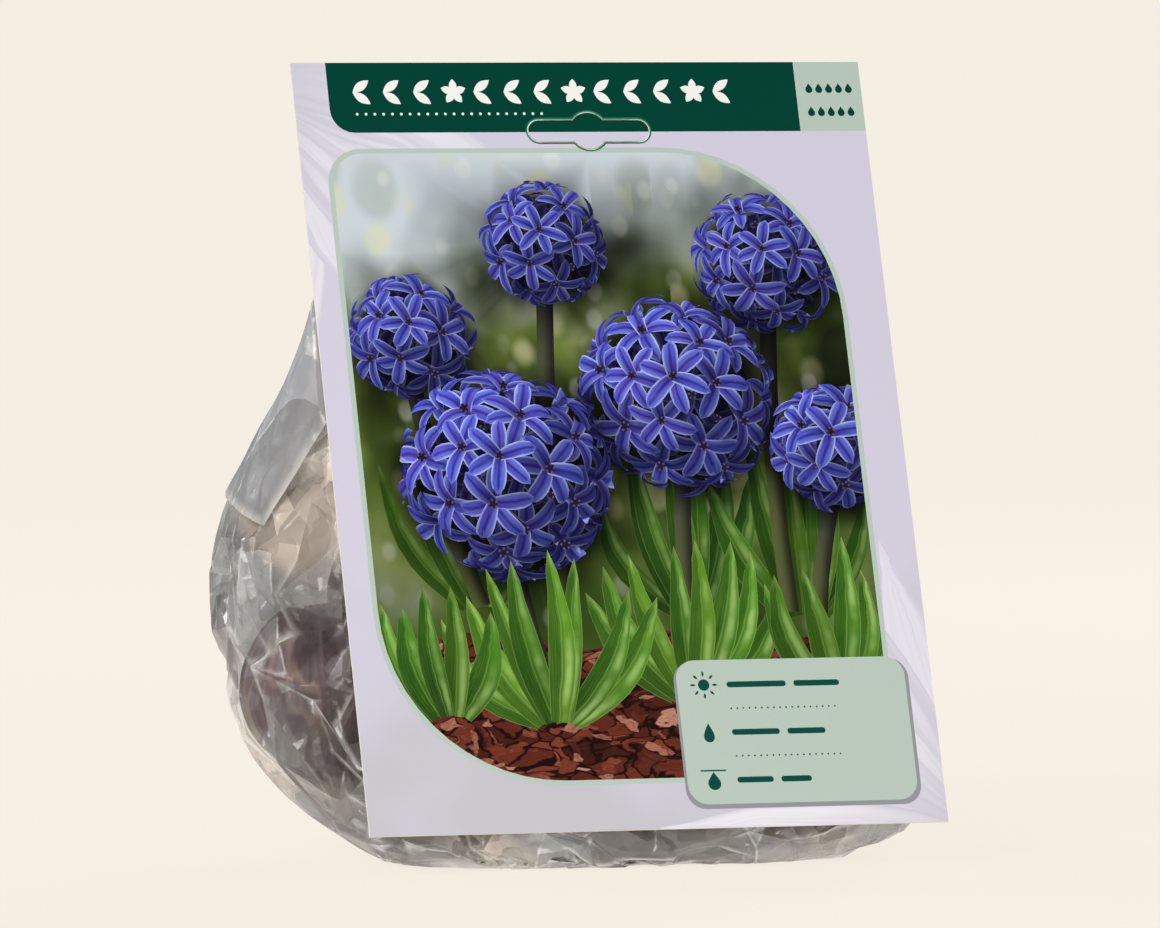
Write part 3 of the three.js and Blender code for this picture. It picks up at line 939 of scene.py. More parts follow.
def garden_ink():
    """A garden out of focus: pale sky, olive shrubs and dark gaps, with soft round spots of light."""
    recipe = Recipe("garden")
    x, y = recipe.map("sheet")
    where = sheet_vector(recipe, (1.2, 0.9))
    broad = recipe.noise(where, 3.2, 2.0, 0.45)
    stops = [(0.3, paint(34, 42, 22)), (0.43, paint(66, 84, 34)), (0.54, paint(112, 132, 62)),
             (0.64, paint(168, 180, 120)), (0.78, paint(214, 222, 206))]
    base = recipe.node("ShaderNodeValToRGB", {"stops": stops}, {0: broad})
    sky = ((y - 1.34) * 2.6 - x * 0.55 + (broad - 0.5) * 2.0).between(0.0, 0.9)
    base = recipe.mix(sky * 0.9, base, paint(214, 226, 236))
    spots = (
        (5.0, 0.46, 0.3, (92, 112, 52)),
        (7.5, 0.4, 0.42, (222, 222, 168)),
        (11.0, 0.36, 0.36, (238, 242, 232)),
    )
    for scale, size, share, glow in spots:
        chance = recipe.part(recipe.cells(where, scale, "Color"), 0)
        lit = (chance * 0.7 + broad * 0.9 - 0.35).between(0.32, 0.62)
        disc = (1 - recipe.cells(where, scale).between(size * 0.55, size)) * lit
        base = recipe.mix(disc * share, base, paint(*glow))
    low = (1.06 - y).between(0.0, 0.55)
    base = recipe.mix(low * 0.8, base, paint(48, 70, 26))
    return varnished(recipe, base, recipe.attribute("light"))


def bark_ink():
    """Bark chips: splintered red brown flakes with dark gaps and a few pale ones."""
    recipe = Recipe("bark")
    flat = sheet_vector(recipe, (0.75, 1.3))
    stir = recipe.noise(flat, 9.0, 3.0, output="Color")
    where = recipe.vector_maths("MULTIPLY_ADD", stir, (0.16, 0.16, 0.0), flat)
    grain = recipe.noise(recipe.vector_maths("MULTIPLY", where, (1.0, 3.0, 1.0)), 60, 4.0, 0.7)
    base = paint(30, 14, 12)
    layers = ((22.0, (48, 22, 18), (96, 42, 30), (140, 72, 54)), # scale, and three colours from dark to pale
              (34.0, (60, 28, 22), (124, 58, 42), (214, 160, 138)))
    for number, (scale, dark, middle, pale) in enumerate(layers):
        flake = recipe.cells(where, scale, "Color")
        gap = recipe.cells(where, scale, feature="DISTANCE_TO_EDGE")
        stops = [(0.1, paint(*dark)), (0.55, paint(*middle)), (0.95, paint(*pale))]
        shade = recipe.part(flake, 0) * 0.62 + grain * 0.6 - 0.14
        tint = recipe.node("ShaderNodeValToRGB", {"stops": stops}, {0: shade})
        shown = (gap + (grain - 0.5) * 0.12).between(0.03, 0.13)
        if number == 1:
            shown = shown * recipe.part(flake, 1).between(0.45, 0.5)
        base = recipe.mix(shown, base, tint)
    return varnished(recipe, base, recipe.attribute("light"))


def board_stock(name, colour):
    """Bare board: matt, with the soft fleck of pulp."""
    recipe = Recipe(name)
    fleck = recipe.noise(recipe.place(), 420, 4.0, 0.65)
    shade = tuple(c * 0.9 for c in colour)
    base = recipe.mix(fleck.between(0.35, 0.65), shade, colour)
    return recipe.finish(Base_Color=base, Roughness=0.85, Specular_IOR_Level=0.2,
                         Normal=recipe.bump(fleck, 0.00004, 0.5))


INKS = {
    "lilac": lilac_ink(),
    "pale_petal": broad_petal_ink(),
    "petal": petal_ink(),
    "leaf": leaf_ink(),
    "stem": stem_ink(),
    "garden": garden_ink(),
    "bark": bark_ink(),
    "throat": plain_ink("throat", paint(30, 26, 60)),
    "anther": plain_ink("anther", paint(92, 84, 92)),
    "mint": plain_ink("mint", paint(188, 206, 197), 0.03),
    "soft_shade": plain_ink("soft_shade", paint(150, 154, 160)),
    "deep_green": plain_ink("deep_green", paint(14, 78, 66)),
    "band": plain_ink("band", paint(0, 68, 54), 0.04),
    "white": plain_ink("white", paint(250, 250, 250), 0.01),
    "cut_line": plain_ink("cut_line", paint(20, 122, 92)),
    "cut_edge": board_stock("cut_edge", paint(232, 228, 220)),
    "bare_back": board_stock("bare_back", paint(224, 220, 212)),
}
print("inks:", len(INKS))

# %% [markdown]
# ## The card and its tab
# Both boards come from the same sheet, so the print goes on across the slot. The card takes every triangle
# outside the slot, and the tab every one inside its own slightly smaller outline.

# %% Card and tab
in_tab = found_in(middles, tab_outline)
off_slot = np.setdiff1d(np.arange(len(middles)), found_in(middles, slot_outline()))
card = make_board("printed_card", off_slot, lambda p: ~inside(p, slot_outline()), INKS)
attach(card, "root")
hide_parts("card")
tab = make_board("slot_waste_tab", in_tab, lambda p: np.ones(len(p), bool), INKS)
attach(tab, "root")
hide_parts("slot_tab")

# %% [markdown]
# ## Where the bulbs lie
# Each CAD bulb is a spun solid that was dropped into the bag and settled there. The mean of its corners lies
# on its axis, and its nose is the corner farthest from that mean. So its axis and its size can be read from
# its own points.

# %% Bulb places
BULB_BASE = 0.95 # how far the base lies below the middle, in units of the bulb's radius
BULB_NOSE = 1.22 # and the nose above it
BALLS = ((-0.3, 0.72), (0.0, 1.0), (0.4, 0.76), (0.86, 0.38)) # places on the axis and radii of what fills it


def node_points(name):
    """The corners of a CAD node, in millimetres."""
    mesh = NODES[name].data
    flat = np.zeros(len(mesh.vertices) * 3)
    mesh.vertices.foreach_get("co", flat)
    return np.unique(flat.reshape(-1, 3).round(6), axis=0) / MM


def bulb_place(name):
    """A bulb's middle, the direction of its nose, and its radius, in millimetres."""
    points = node_points(name)
    mean = points.mean(0)
    nose = points[np.linalg.norm(points - mean, axis=1).argmax()]
    axis = (nose - mean) / np.linalg.norm(nose - mean)
    radius = np.ptp(points @ axis) / (BULB_BASE + BULB_NOSE)
    return nose - axis * BULB_NOSE * radius, axis, radius


bulbs = {name: bulb_place(name) for name in sorted(NODES) if name.startswith("bulb")}
ball_middles = np.array([middle + axis * radius * at
                         for middle, axis, radius in bulbs.values() for at, _ in BALLS])
ball_radii = np.array([radius * size for _, _, radius in bulbs.values() for _, size in BALLS])
print("bulbs:", len(bulbs), "radius", [round(radius, 1) for _, _, radius in bulbs.values()])

# %% [markdown]
# ## A bulb
# A bulb is a stack of thick scales in a thin papery coat, the tunic. The tunic is ribbed lengthwise,
# puckers at the nose and tears, and where it has torn the next one shows, smoother and paler. So the form
# is a spun outline whose surface is then raised and lowered by a rule: ribs, puckers, dents, and a step
# down wherever the tunic is gone. All of it stays inside the CAD bulb.

# %% Bulb form
BULB_OUTLINE = ( # distance from the axis and place along it, in units of the bulb's radius
    (0.0, -0.86), (0.2, -0.87), (0.27, -0.94), (0.42, -0.93), (0.7, -0.7), (0.93, -0.34), (1.0, 0.0),
    (0.94, 0.32), (0.76, 0.62), (0.5, 0.86), (0.3, 1.0), (0.17, 1.12), (0.07, 1.19), (0.0, 1.2))
BULB_GRID = {"round": 96, "along": 72}
TUNIC = {"thick": 0.55, "ribs": 26, "rib": 0.16, "pucker": 1.32, "dent": 0.5} # depths in millimetres
CALM = 0.35 # within this of the axis, in the same units, the surface gets smooth
CLOSEST = 0.15 # a net's point comes no closer to the axis, in millimetres


def spun_outline():
    """The outline at even steps, rounded off, from the base to the nose."""
    outline = np.array(BULB_OUTLINE)
    length = np.concatenate([[0], np.cumsum(np.linalg.norm(np.diff(outline, axis=0), axis=1))])
    at = np.linspace(0, length[-1], 400)
    fine = np.stack([np.interp(at, length, outline[:, k]) for k in (0, 1)], 1)
    soft = fine.copy()
    for _ in range(260):
        soft[1:-1] = soft[1:-1] + 0.25 * (soft[2:] + soft[:-2] - 2 * soft[1:-1])
    steps = np.linspace(0, len(soft) - 1, BULB_GRID["along"] + 1)
    return np.stack([np.interp(steps, np.arange(len(soft)), soft[:, k]) for k in (0, 1)], 1)


def noise_of(points, seed):
    """One value from -1 to 1 for each point, smooth in space and different for each seed."""
    shift = Vector((seed * 7.31, seed * 3.17, seed * 5.77))
    return np.array([noise.noise(Vector(p) + shift) for p in points])


def sides_of(axis):
    """Two directions square to an axis and to each other."""
    first = np.cross(axis, (0.3, 0.5, 0.8))
    first /= np.linalg.norm(first)
    return first, np.cross(axis, first)


def tunic_of(around, turn, along, number):
    """How far the tunic is torn at each point, from 0 to 1, and how far the surface is raised, in mm."""

    def pattern(scale, seed):
        return noise_of(around * scale, number + seed).reshape(turn.shape)

    torn = pattern((1.1, 1.1, 0.55), 0) + 0.25 * pattern((5, 5, 2), 40)
    torn = (torn * 7 - 2.4).clip(0, 1) * (along > 0.08) * (along < 0.93)
    ridge = np.cos(turn * TUNIC["ribs"] + 3 * pattern((9, 9, 0.5), 80))
    pucker = np.abs(pattern((4, 4, 0.3), 120)) * ((along - 0.62) / 0.3).clip(0, 1)
    dent = pattern((1.3, 1.3, 1.0), 160) - 0.6
    raised = TUNIC["rib"] * (ridge - 1) * (1 - 0.6 * torn) - TUNIC["thick"] * torn
    return torn, raised - TUNIC["pucker"] * pucker + TUNIC["dent"] * dent


def spun_faces(count, rows):
    """The faces of a closed spun net of so many rows. Its two poles are its last points."""
    faces = []
    for i in range(count):
        j = (i + 1) % count
        faces.append((rows * count, j, i))
        faces.append((rows * count + 1, (rows - 1) * count + i, (rows - 1) * count + j))
        for a in range(0, (rows - 1) * count, count):
            faces.append((a + i, a + j, a + count + j, a + count + i))
    return faces


def dress_bulb(name, number, middle, axis, radius, material):
    """A bulb with its tunic, in the place of a CAD bulb."""
    outline = spun_outline()
    count, rows = BULB_GRID["round"], len(outline) - 2
    turn, row = np.meshgrid(np.arange(count) * 2 * np.pi / count, np.arange(1, rows + 1))
    along = row / BULB_GRID["along"]
    around = np.stack([np.cos(turn), np.sin(turn), along * 3], -1).reshape(-1, 3)
    torn, raised = tunic_of(around, turn, along, number)
    raised *= np.minimum(1, outline[row, 0] / CALM)
    slope = np.gradient(outline, axis=0)
    facing = np.stack([slope[:, 1], -slope[:, 0]], 1) / np.linalg.norm(slope, axis=1)[:, None]
    out = np.maximum(outline[row, 0] * radius + facing[row, 0] * raised, CLOSEST)
    up = outline[row, 1] * radius + facing[row, 1] * raised
    across, other = sides_of(axis)
    points = np.multiply.outer(out * np.cos(turn), across) + np.multiply.outer(out * np.sin(turn), other)
    points += np.multiply.outer(up, axis)
    poles = np.outer(outline[[0, -1], 1] * radius, axis)
    points = np.concatenate([points.reshape(-1, 3), poles]) + middle
    bulb = new_piece(name, points * MM, spun_faces(count, rows), material)
    bulb.data.shade_smooth()
    write(bulb, "torn", "POINT", np.append(torn.ravel(), (0, 0)))
    write(bulb, "along", "POINT", np.append(along.ravel(), (0, 1)))
    skin = np.concatenate([around, ((0, 0, 0), (0, 0, 3))]) + (number * 3, 0, 0)
    write(bulb, "skin", "POINT", skin, "FLOAT_VECTOR")
    return bulb


print("a bulb is a net of", BULB_GRID["round"], "x", BULB_GRID["along"])

# %% [markdown]
# ## Papery skin
# The tunic is purple brown with a silvery bloom, streaked and veined from base to nose. Torn places show a
# lilac scale, the nose dries to straw and the base is corky. The pattern follows the bulb through a vector
# that each corner carries: the direction round the axis, and how far up it lies.

# %% Bulb skin
def bulb_skin():
    recipe = Recipe("bulb_skin")
    skin = recipe.attribute("skin", "Vector")
    torn, along = recipe.attribute("torn"), recipe.attribute("along")

    def stretched(scale, detail, rough):
        return recipe.noise(recipe.vector_maths("MULTIPLY", skin, scale), 1.0, detail, rough)

    streak = stretched((7.0, 7.0, 0.7), 4.0, 0.62)
    vein = stretched((22.0, 22.0, 1.4), 2.0, 0.5)
    blotch = stretched((1.6, 1.6, 1.2), 4.0, 0.6)
    grit = recipe.noise(recipe.place(), 1500, 2.0)
    # The tunic's own purple brown, painted somewhat darker still as shade inside the bag.
    base = recipe.mix(streak.between(0.32, 0.68), paint(56, 32, 40), paint(98, 66, 70))
    base = recipe.mix(blotch.between(0.45, 0.7) * 0.5, base, paint(112, 84, 74))
    base = recipe.mix(vein.between(0.52, 0.66) * 0.5, base, paint(38, 22, 28))
    # The scale under a tear, likewise painted darker as shade inside the bag.
    inner = recipe.mix(streak.between(0.35, 0.7), paint(84, 50, 70), paint(128, 98, 112))
    base = recipe.mix(torn, base, inner)
    tear = torn.between(0.02, 0.4) * (1 - torn.between(0.5, 0.98))
    base = recipe.mix(tear * 0.7, base, paint(150, 122, 106))
    nose = (along + (streak - 0.5) * 0.16).between(0.84, 0.95)
    base = recipe.mix(nose * 0.85, base, paint(176, 146, 104))
    foot = 1 - (along + (streak - 0.5) * 0.06).between(0.09, 0.15)
    base = recipe.mix(foot * 0.9, base, recipe.mix(grit, paint(120, 98, 74), paint(188, 168, 136)))
    rough = 0.5 - 0.18 * torn + 0.2 * foot + (vein - 0.5) * 0.2
    fine = recipe.bump(vein, 0.00016, 0.8)
    return recipe.finish(Base_Color=base, Roughness=rough, Specular_IOR_Level=0.5, Coat_Weight=0.15,
                         Coat_Roughness=0.35, Normal=recipe.bump(grit, 0.00003, 0.5, fine))


skin = bulb_skin()
for number, (name, (middle, axis, radius)) in enumerate(bulbs.items()):
    bulb = dress_bulb("dressed_" + name, number, middle, axis, radius, skin)
    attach(bulb, "root")
    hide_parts(name)
print("dressed", len(bulbs), "bulbs")

# %% [markdown]
# ## Root stubs
# When a bulb is lifted and dried, its roots break off and leave a ring of short stubs on the base. They
# repeat over a surface, so Geometry Nodes scatters them: points on a small flat ring under each bulb, a
# cone on each point, and then everything made real.

# %% Root stubs
STUBS = {"count": 22, "length": 1.5 * MM, "radius": 0.42 * MM, "taper": 0.45, "lean": 0.45, "seed": 4}
RING = {"inner": 0.06, "outer": 0.2, "below": 0.87, "sides": 16} # where they stand, in units of the radius
USUAL_RADIUS = 23 * MM


def stub_tree():
    """A tree that stands cones on the faces it is given. Its inputs are named for what they set."""
    tree = bpy.data.node_groups.new("root_stubs", "GeometryNodeTree")
    inputs = {
        "Geometry": "Geometry", "Density": "Float", "Seed": "Int", "Length": "Float", "Radius": "Float",
        "Finish": "Material",
    }
    for label, kind in inputs.items():
        tree.interface.new_socket(label, in_out="INPUT", socket_type="NodeSocket" + kind)
    tree.interface.new_socket("Geometry", in_out="OUTPUT", socket_type="NodeSocketGeometry")
    kinds = {
        "given": "NodeGroupInput", "result": "NodeGroupOutput", "narrow": "ShaderNodeMath",
        "scatter": "GeometryNodeDistributePointsOnFaces", "cone": "GeometryNodeMeshCone",
        "lean": "FunctionNodeRandomValue", "turn": "FunctionNodeRotateRotation",
        "stand": "GeometryNodeInstanceOnPoints", "real": "GeometryNodeRealizeInstances",
        "cover": "GeometryNodeSetMaterial",
    }
    nodes = {name: tree.nodes.new(kind) for name, kind in kinds.items()}
    nodes["cone"].inputs["Vertices"].default_value = 7
    nodes["cone"].inputs["Side Segments"].default_value = 2
    nodes["lean"].data_type = "FLOAT_VECTOR"
    nodes["lean"].inputs[0].default_value = (-STUBS["lean"], -STUBS["lean"], 0)
    nodes["lean"].inputs[1].default_value = (STUBS["lean"], STUBS["lean"], 6.28)
    nodes["turn"].rotation_space = "LOCAL"
    nodes["narrow"].operation = "MULTIPLY"
    nodes["narrow"].inputs[1].default_value = STUBS["taper"]
    links = (
        ("given", "Geometry", "scatter", "Mesh"), ("given", "Density", "scatter", "Density"),
        ("given", "Seed", "scatter", "Seed"), ("given", "Length", "cone", "Depth"),
        ("given", "Radius", "cone", "Radius Bottom"), ("given", "Radius", "narrow", 0),
        ("narrow", 0, "cone", "Radius Top"), ("scatter", "Points", "stand", "Points"),
        ("cone", "Mesh", "stand", "Instance"), ("scatter", "Rotation", "turn", "Rotation"),
        ("lean", 0, "turn", "Rotate By"), ("turn", 0, "stand", "Rotation"),
        ("stand", "Instances", "real", "Geometry"), ("real", "Geometry", "cover", "Geometry"),
        ("given", "Finish", "cover", "Material"), ("cover", "Geometry", "result", "Geometry"),
    )
    for giver, out, taker, into in links:
        tree.links.new(nodes[giver].outputs[out], nodes[taker].inputs[into])
    return tree


def made_plain(thing, name, tree, **values):
    """Runs a tree on an object, its inputs set by identifier, and returns the result as a plain mesh."""
    modifier = thing.modifiers.new(name, "NODES")
    modifier.node_group = tree
    for item in tree.interface.items_tree:
        key = item.name.lower()
        if item.in_out == "INPUT" and key in values:
            modifier[item.identifier] = values[key]
    ready = thing.evaluated_get(bpy.context.evaluated_depsgraph_get())
    mesh = bpy.data.meshes.new_from_object(ready)
    thing.modifiers.remove(modifier)
    bpy.data.objects.remove(thing)
    mesh.name = name
    plain = bpy.data.objects.new(name, mesh)
    bpy.context.collection.objects.link(plain)
    print(name, len(mesh.polygons), "faces")
    return plain


def base_rings():
    """A flat ring under each bulb, facing out of its base."""
    points, faces = [], []
    count = RING["sides"]
    for middle, axis, radius in bulbs.values():
        first, second = sides_of(axis)
        start = len(points)
        for size in (RING["inner"], RING["outer"]):
            for x, y in ring((0, 0), size * radius, count):
                points.append((middle - axis * RING["below"] * radius + first * x + second * y) * MM)
        for i in range(count):
            j = (i + 1) % count
            faces.append((start + i, start + j, start + count + j, start + count + i))
    return new_piece("base_rings", points, faces)


def root_material():
    recipe = Recipe("dry_root")
    fleck = recipe.noise(recipe.place(), 900, 3.0)
    colour = recipe.mix(fleck.between(0.3, 0.7), paint(128, 100, 68), paint(204, 184, 148))
    return recipe.finish(Base_Color=colour, Roughness=0.85, Normal=recipe.bump(fleck, 0.00006, 0.7))


ring_area = math.pi * (RING["outer"] ** 2 - RING["inner"] ** 2) * USUAL_RADIUS ** 2
stubs = made_plain(base_rings(), "root_stubs", stub_tree(), density=STUBS["count"] / ring_area,
                   seed=STUBS["seed"], length=STUBS["length"], radius=STUBS["radius"],
                   finish=root_material())
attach(stubs, "root")

# %% [markdown]
# ## Tape
# Two strips of double-sided tape hold the film to the back of the card. A dispenser's blade cuts tape with
# teeth, so both ends are a zigzag. The outline is drawn flat, given its thickness, and then laid against
# the card's back.

# %% Tape strips
TOOTH = 1.2 # half of a tooth's width, and twice its depth


def tape_strip(name, node, material):
    """A strip of tape with toothed ends in the place of a CAD strip."""
    points = node_points(node)
    flat = np.stack([points[:, 0] - FOOT[0] / MM, (points - FOOT / MM) @ UP_CARD], 1)
    lift = (points - FOOT / MM) @ OUT_OF_CARD
    (left, low), (right_end, high) = flat.min(0), flat.max(0)
    teeth = np.linspace(low, high, round((high - low) / TOOTH) + 1)
    notch = np.arange(len(teeth)) % 2 * 0.5 * TOOTH
    one_end, other_end = np.stack([right_end - notch, teeth], 1), np.stack([left + notch, teeth], 1)
    outline = np.concatenate([one_end, other_end[::-1]])
    n = len(outline)
    faces = [tuple(range(n)), tuple(range(2 * n - 1, n - 1, -1))]
    faces += [((i + 1) % n, i, n + i, n + (i + 1) % n) for i in range(n)]
    places = np.concatenate([on_card(outline, lift.max()), on_card(outline, lift.min())])
    return new_piece(name, places, faces, material)


def tape_material():
    recipe = Recipe("adhesive_tape")
    bubbles = recipe.noise(recipe.place(), 260, 3.0, 0.6)
    colour = recipe.mix(bubbles.between(0.4, 0.62), paint(232, 224, 200), paint(208, 198, 170))
    return recipe.finish(Base_Color=colour, Roughness=0.45, Normal=recipe.bump(bubbles, 0.00012, 0.6))


tape_finish = tape_material()
for node in ("tape_upper", "tape_lower"):
    strip_piece = tape_strip("toothed_" + node, node, tape_finish)
    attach(strip_piece, "root")
    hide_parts(node)
print("teeth every", 2 * TOOTH, "mm")

# %% [markdown]
# ## The film bag
# The bag is a flat tube of clear film, sealed along its foot and gathered at its mouth. It is larger than
# what it holds, and film barely stretches or shortens, so the spare width has to fold. That is what
# crumples it into flat facets with sharp creases. Painting such folds never looks right, so they are
# worked out: a net of triangles starts on the CAD bag's own outline with every edge a little too short,
# the edges push back to their true length, and the bulbs inside and the envelope outside hold the net.

# %% The bag's envelope
SQUARE = 2.6 # how square the bag's rings are, where 2 is an oval
bag_points = node_points("film_bag")
ring_heights = np.unique(bag_points[:, 2].round(1))
rings = [bag_points[np.abs(bag_points[:, 2] - height) < 0.06, :2] for height in ring_heights]
ring_low = np.array([points.min(0) for points in rings])
ring_high = np.array([points.max(0) for points in rings])
MOUTH = ring_heights[-1]


def envelope(z):
    """The middle and the half widths of the bag at some heights."""
    low = np.stack([np.interp(z, ring_heights, ring_low[:, k]) for k in (0, 1)], -1)
    high = np.stack([np.interp(z, ring_heights, ring_high[:, k]) for k in (0, 1)], -1)
    return (low + high) / 2, (high - low) / 2


def bag_ring(z, thin=1.0, count=400):
    """Points at even steps round the bag at one height; thin narrows its depth."""
    middle, half = envelope(z)
    angles = np.linspace(0, 2 * np.pi, count, endpoint=False)
    flat = np.stack([np.cos(angles), np.sin(angles)], 1)
    flat = np.sign(flat) * np.abs(flat) ** (2 / SQUARE) * half * (0.9 + 0.1 * thin, thin) + middle
    closed = np.concatenate([flat, flat[:1]])
    length = np.concatenate([[0], np.cumsum(np.linalg.norm(np.diff(closed, axis=0), axis=1))])
    at = np.linspace(0, length[-1], count, endpoint=False)
    x, y = (np.interp(at, length, closed[:, k]) for k in (0, 1))
    return np.stack([x, y, np.full(count, z)], 1)


print("envelope:", len(rings), "rings, widest", (ring_high - ring_low).max(0).round(1))

# %% [markdown]
# ## The net
# The net is laid in rings at even steps down the bag's side, and from there in to the seam under its foot.
# Its points are shifted and its diagonals drawn by lot, because creases keep to no grid.

# %% The net
NET = {"columns": 46, "rows": 21, "base_rows": 4, "jitter": 0.34}
BASE = 0.5 # height of the film's foot, in mm
FILM_SEED = 5
ROUNDS = (500, 260) # of crumpling, for the coarse net and the finer one


def film_net(rng):
    """Points, triangles, and how many rows down from the mouth each point lies."""
    path = np.linspace(MOUTH, BASE, 200)
    halves = envelope(path)[1].sum(1)
    length = np.concatenate([[0], np.cumsum(np.hypot(np.diff(path), np.diff(halves)))])
    heights = np.interp(np.linspace(0, length[-1], NET["rows"] + 1), length, path)
    table = [bag_ring(z) for z in heights]
    table += [bag_ring(BASE, thin) for thin in np.linspace(1, 0, NET["base_rows"] + 1)[1:]]
    table = np.array(table)
    columns, last = NET["columns"], len(table) - 1
    share, row = np.meshgrid(np.arange(columns), np.arange(len(table)))
    shift = rng.uniform(-NET["jitter"], NET["jitter"], (2, *row.shape))
    shift[1, (0, last)] = 0
    shift[0, last] = 0
    share = (share + shift[0]) / columns % 1 * table.shape[1]
    down = (row + shift[1]).clip(0, last - 1e-6)
    upper, left = down.astype(int), share.astype(int)
    across, below = (share - left)[..., None], (down - upper)[..., None]
    corner = [[table[upper + i, (left + j) % table.shape[1]] for j in (0, 1)] for i in (0, 1)]
    points = (corner[0][0] * (1 - across) + corner[0][1] * across) * (1 - below)
    points += (corner[1][0] * (1 - across) + corner[1][1] * across) * below
    number = row * columns + np.arange(columns)
    half = columns // 2
    number[last, half + 1:] = number[last, 1:half][::-1]
    triangles = []
    for r in range(last):
        for c in range(columns):
            a, b = number[r, c], number[r, (c + 1) % columns]
            d, e = number[r + 1, c], number[r + 1, (c + 1) % columns]
            triangles += [(a, d, b), (b, d, e)] if rng.random() < 0.5 else [(a, d, e), (a, e, b)]
    triangles = np.array([t for t in triangles if len(set(t)) == 3])
    used, triangles = np.unique(triangles, return_inverse=True)
    return points.reshape(-1, 3)[used], triangles.reshape(-1, 3), row.ravel()[used].astype(float)


def edges_of(triangles):
    """Every edge once, and for each side of a triangle the number of its edge."""
    sides = np.concatenate([triangles[:, [0, 1]], triangles[:, [1, 2]], triangles[:, [2, 0]]])
    edges, which = np.unique(np.sort(sides, axis=1), axis=0, return_inverse=True)
    return edges, which.reshape(-1)


def net_links(triangles):
    """Every edge, and for each that two triangles share the two corners across it."""
    edges, which = edges_of(triangles)
    across = triangles[:, [2, 0, 1]].T.reshape(-1)
    order = np.argsort(which, kind="stable")
    first = np.searchsorted(which[order], np.arange(len(edges)))
    shared = np.bincount(which) == 2
    return edges, np.stack([across[order][first[shared]], across[order][first[shared] + 1]], 1)


def split_net(triangles, *values):
    """Each triangle as four, and each value with the edges' midpoints added."""
    edges, which = edges_of(triangles)
    ab, bc, ca = which.reshape(3, -1) + len(values[0])
    a, b, c = triangles.T
    finer = np.concatenate([np.stack(t, 1) for t in ((a, ab, ca), (ab, b, bc), (ca, bc, c), (ab, bc, ca))])
    return finer, *(np.concatenate([v, (v[edges[:, 0]] + v[edges[:, 1]]) / 2]) for v in values)


print("net:", NET["columns"], "points round the bag and", NET["rows"], "rows down it")

# %% [markdown]
# ## Crumpling the film
# Each round pushes every edge towards its true length, then keeps the net off the bulbs, inside the
# envelope, off the floor and behind the card. The spare length is uneven, so some places stay taut and
# others crease. Once the coarse net is calm it is split, and the finer one is crumpled again.

# %% Crumpling
FILM = {
    "slack": 0.075, "uneven": 0.07, "patch": 26, # spare length, as a share, and the size of its patches
    "proud": 1.4, "inset": 9.0, "foot_inset": 2.0, # how far the film may lie outside and inside the envelope
    "clear": 0.6, "off_card": 0.5, "floor": 0.3, # gaps to the bulbs, the card and the floor
    "fold": 0.55, # how far two facets may close up, as a share of their opened width
    "haste": 1.5, # in a round a point moves by this many times the mean pull of its edges
    "shake": 0.5, # how far the points are first pushed about by lot
    "near": 5, "look": 15, # each point's bulbs within this distance are looked up once in so many rounds
    "corner": 58, "rise": 0.35, # where the foot's right corner leaves the floor, and its slope
}


def foot_height(points):
    """How high the film lies over the floor at its lowest: the foot's right corner turns up."""
    return FILM["floor"] + FILM["rise"] * (points[:, 0] - FILM["corner"]).clip(0)


def keep_off_bulbs(points, near):
    """Pushes points out of the balls that fill the bulbs."""
    number, ball = near
    gap = points[number] - ball_middles[ball]
    distance = np.linalg.norm(gap, axis=1)
    deep = distance < ball_radii[ball] + FILM["clear"]
    push = gap[deep] * ((ball_radii[ball][deep] + FILM["clear"]) / distance[deep] - 1)[:, None]
    points[number[deep]] += push


def keep_in_envelope(points, inset):
    """Keeps points on the bag's envelope, give or take what the film may stand proud of it or sink in."""
    middle, half = envelope(points[:, 2])
    flat = (points[:, :2] - middle) / half
    size = (np.abs(flat) ** SQUARE).sum(1).clip(1e-9) ** (1 / SQUARE)
    slope = np.sign(flat) * np.abs(flat) ** (SQUARE - 1) / half * (size ** (1 - SQUARE))[:, None]
    steep = np.linalg.norm(slope, axis=1)
    offset = (size - 1) / steep
    inner = np.where(np.isinf(inset), inset, np.minimum(inset, half[:, 1] * 0.75))
    wanted = offset.clip(-inner, FILM["proud"])
    points[:, :2] += slope / steep[:, None] * (wanted - offset)[:, None]


def keep_behind_card(points):
    """Pushes points to behind the card, as far up and down as the card reaches."""
    lift = (points * MM - FOOT) @ OUT_OF_CARD / MM
    over = lift + BOARD / MM + FILM["off_card"]
    above = ((points * MM - FOOT) @ UP_CARD / MM) > -1
    points -= np.where(above, over.clip(0), 0)[:, None] * OUT_OF_CARD


def true_lengths(home, links, edge_count):
    """How long each link should be. The edges get spare length, in some places more than in others."""
    true = np.linalg.norm(home[links[:, 0]] - home[links[:, 1]], axis=1)
    where = (home[links[:edge_count, 0]] + home[links[:edge_count, 1]]) / 2
    patchy = np.array([noise.noise(Vector(p / FILM["patch"])) for p in where])
    true[:edge_count] *= 1 + FILM["slack"] + FILM["uneven"] * patchy
    return true


def pull_to_length(points, links, true, bends, count):
    """Moves the ends of every link towards its true length. A bend only pushes, once it closes too far."""
    way = points[links[:, 1]] - points[links[:, 0]]
    length = np.linalg.norm(way, axis=1).clip(1e-6)
    share = 1 - true / length
    share[bends] = np.minimum(1 - FILM["fold"] * true[bends] / length[bends], 0) * 0.5
    pull = (share / 2)[:, None] * way
    for k in range(3):
        total = np.bincount(links[:, 0], pull[:, k], len(points))
        total -= np.bincount(links[:, 1], pull[:, k], len(points))
        points[:, k] += total / count * FILM["haste"]


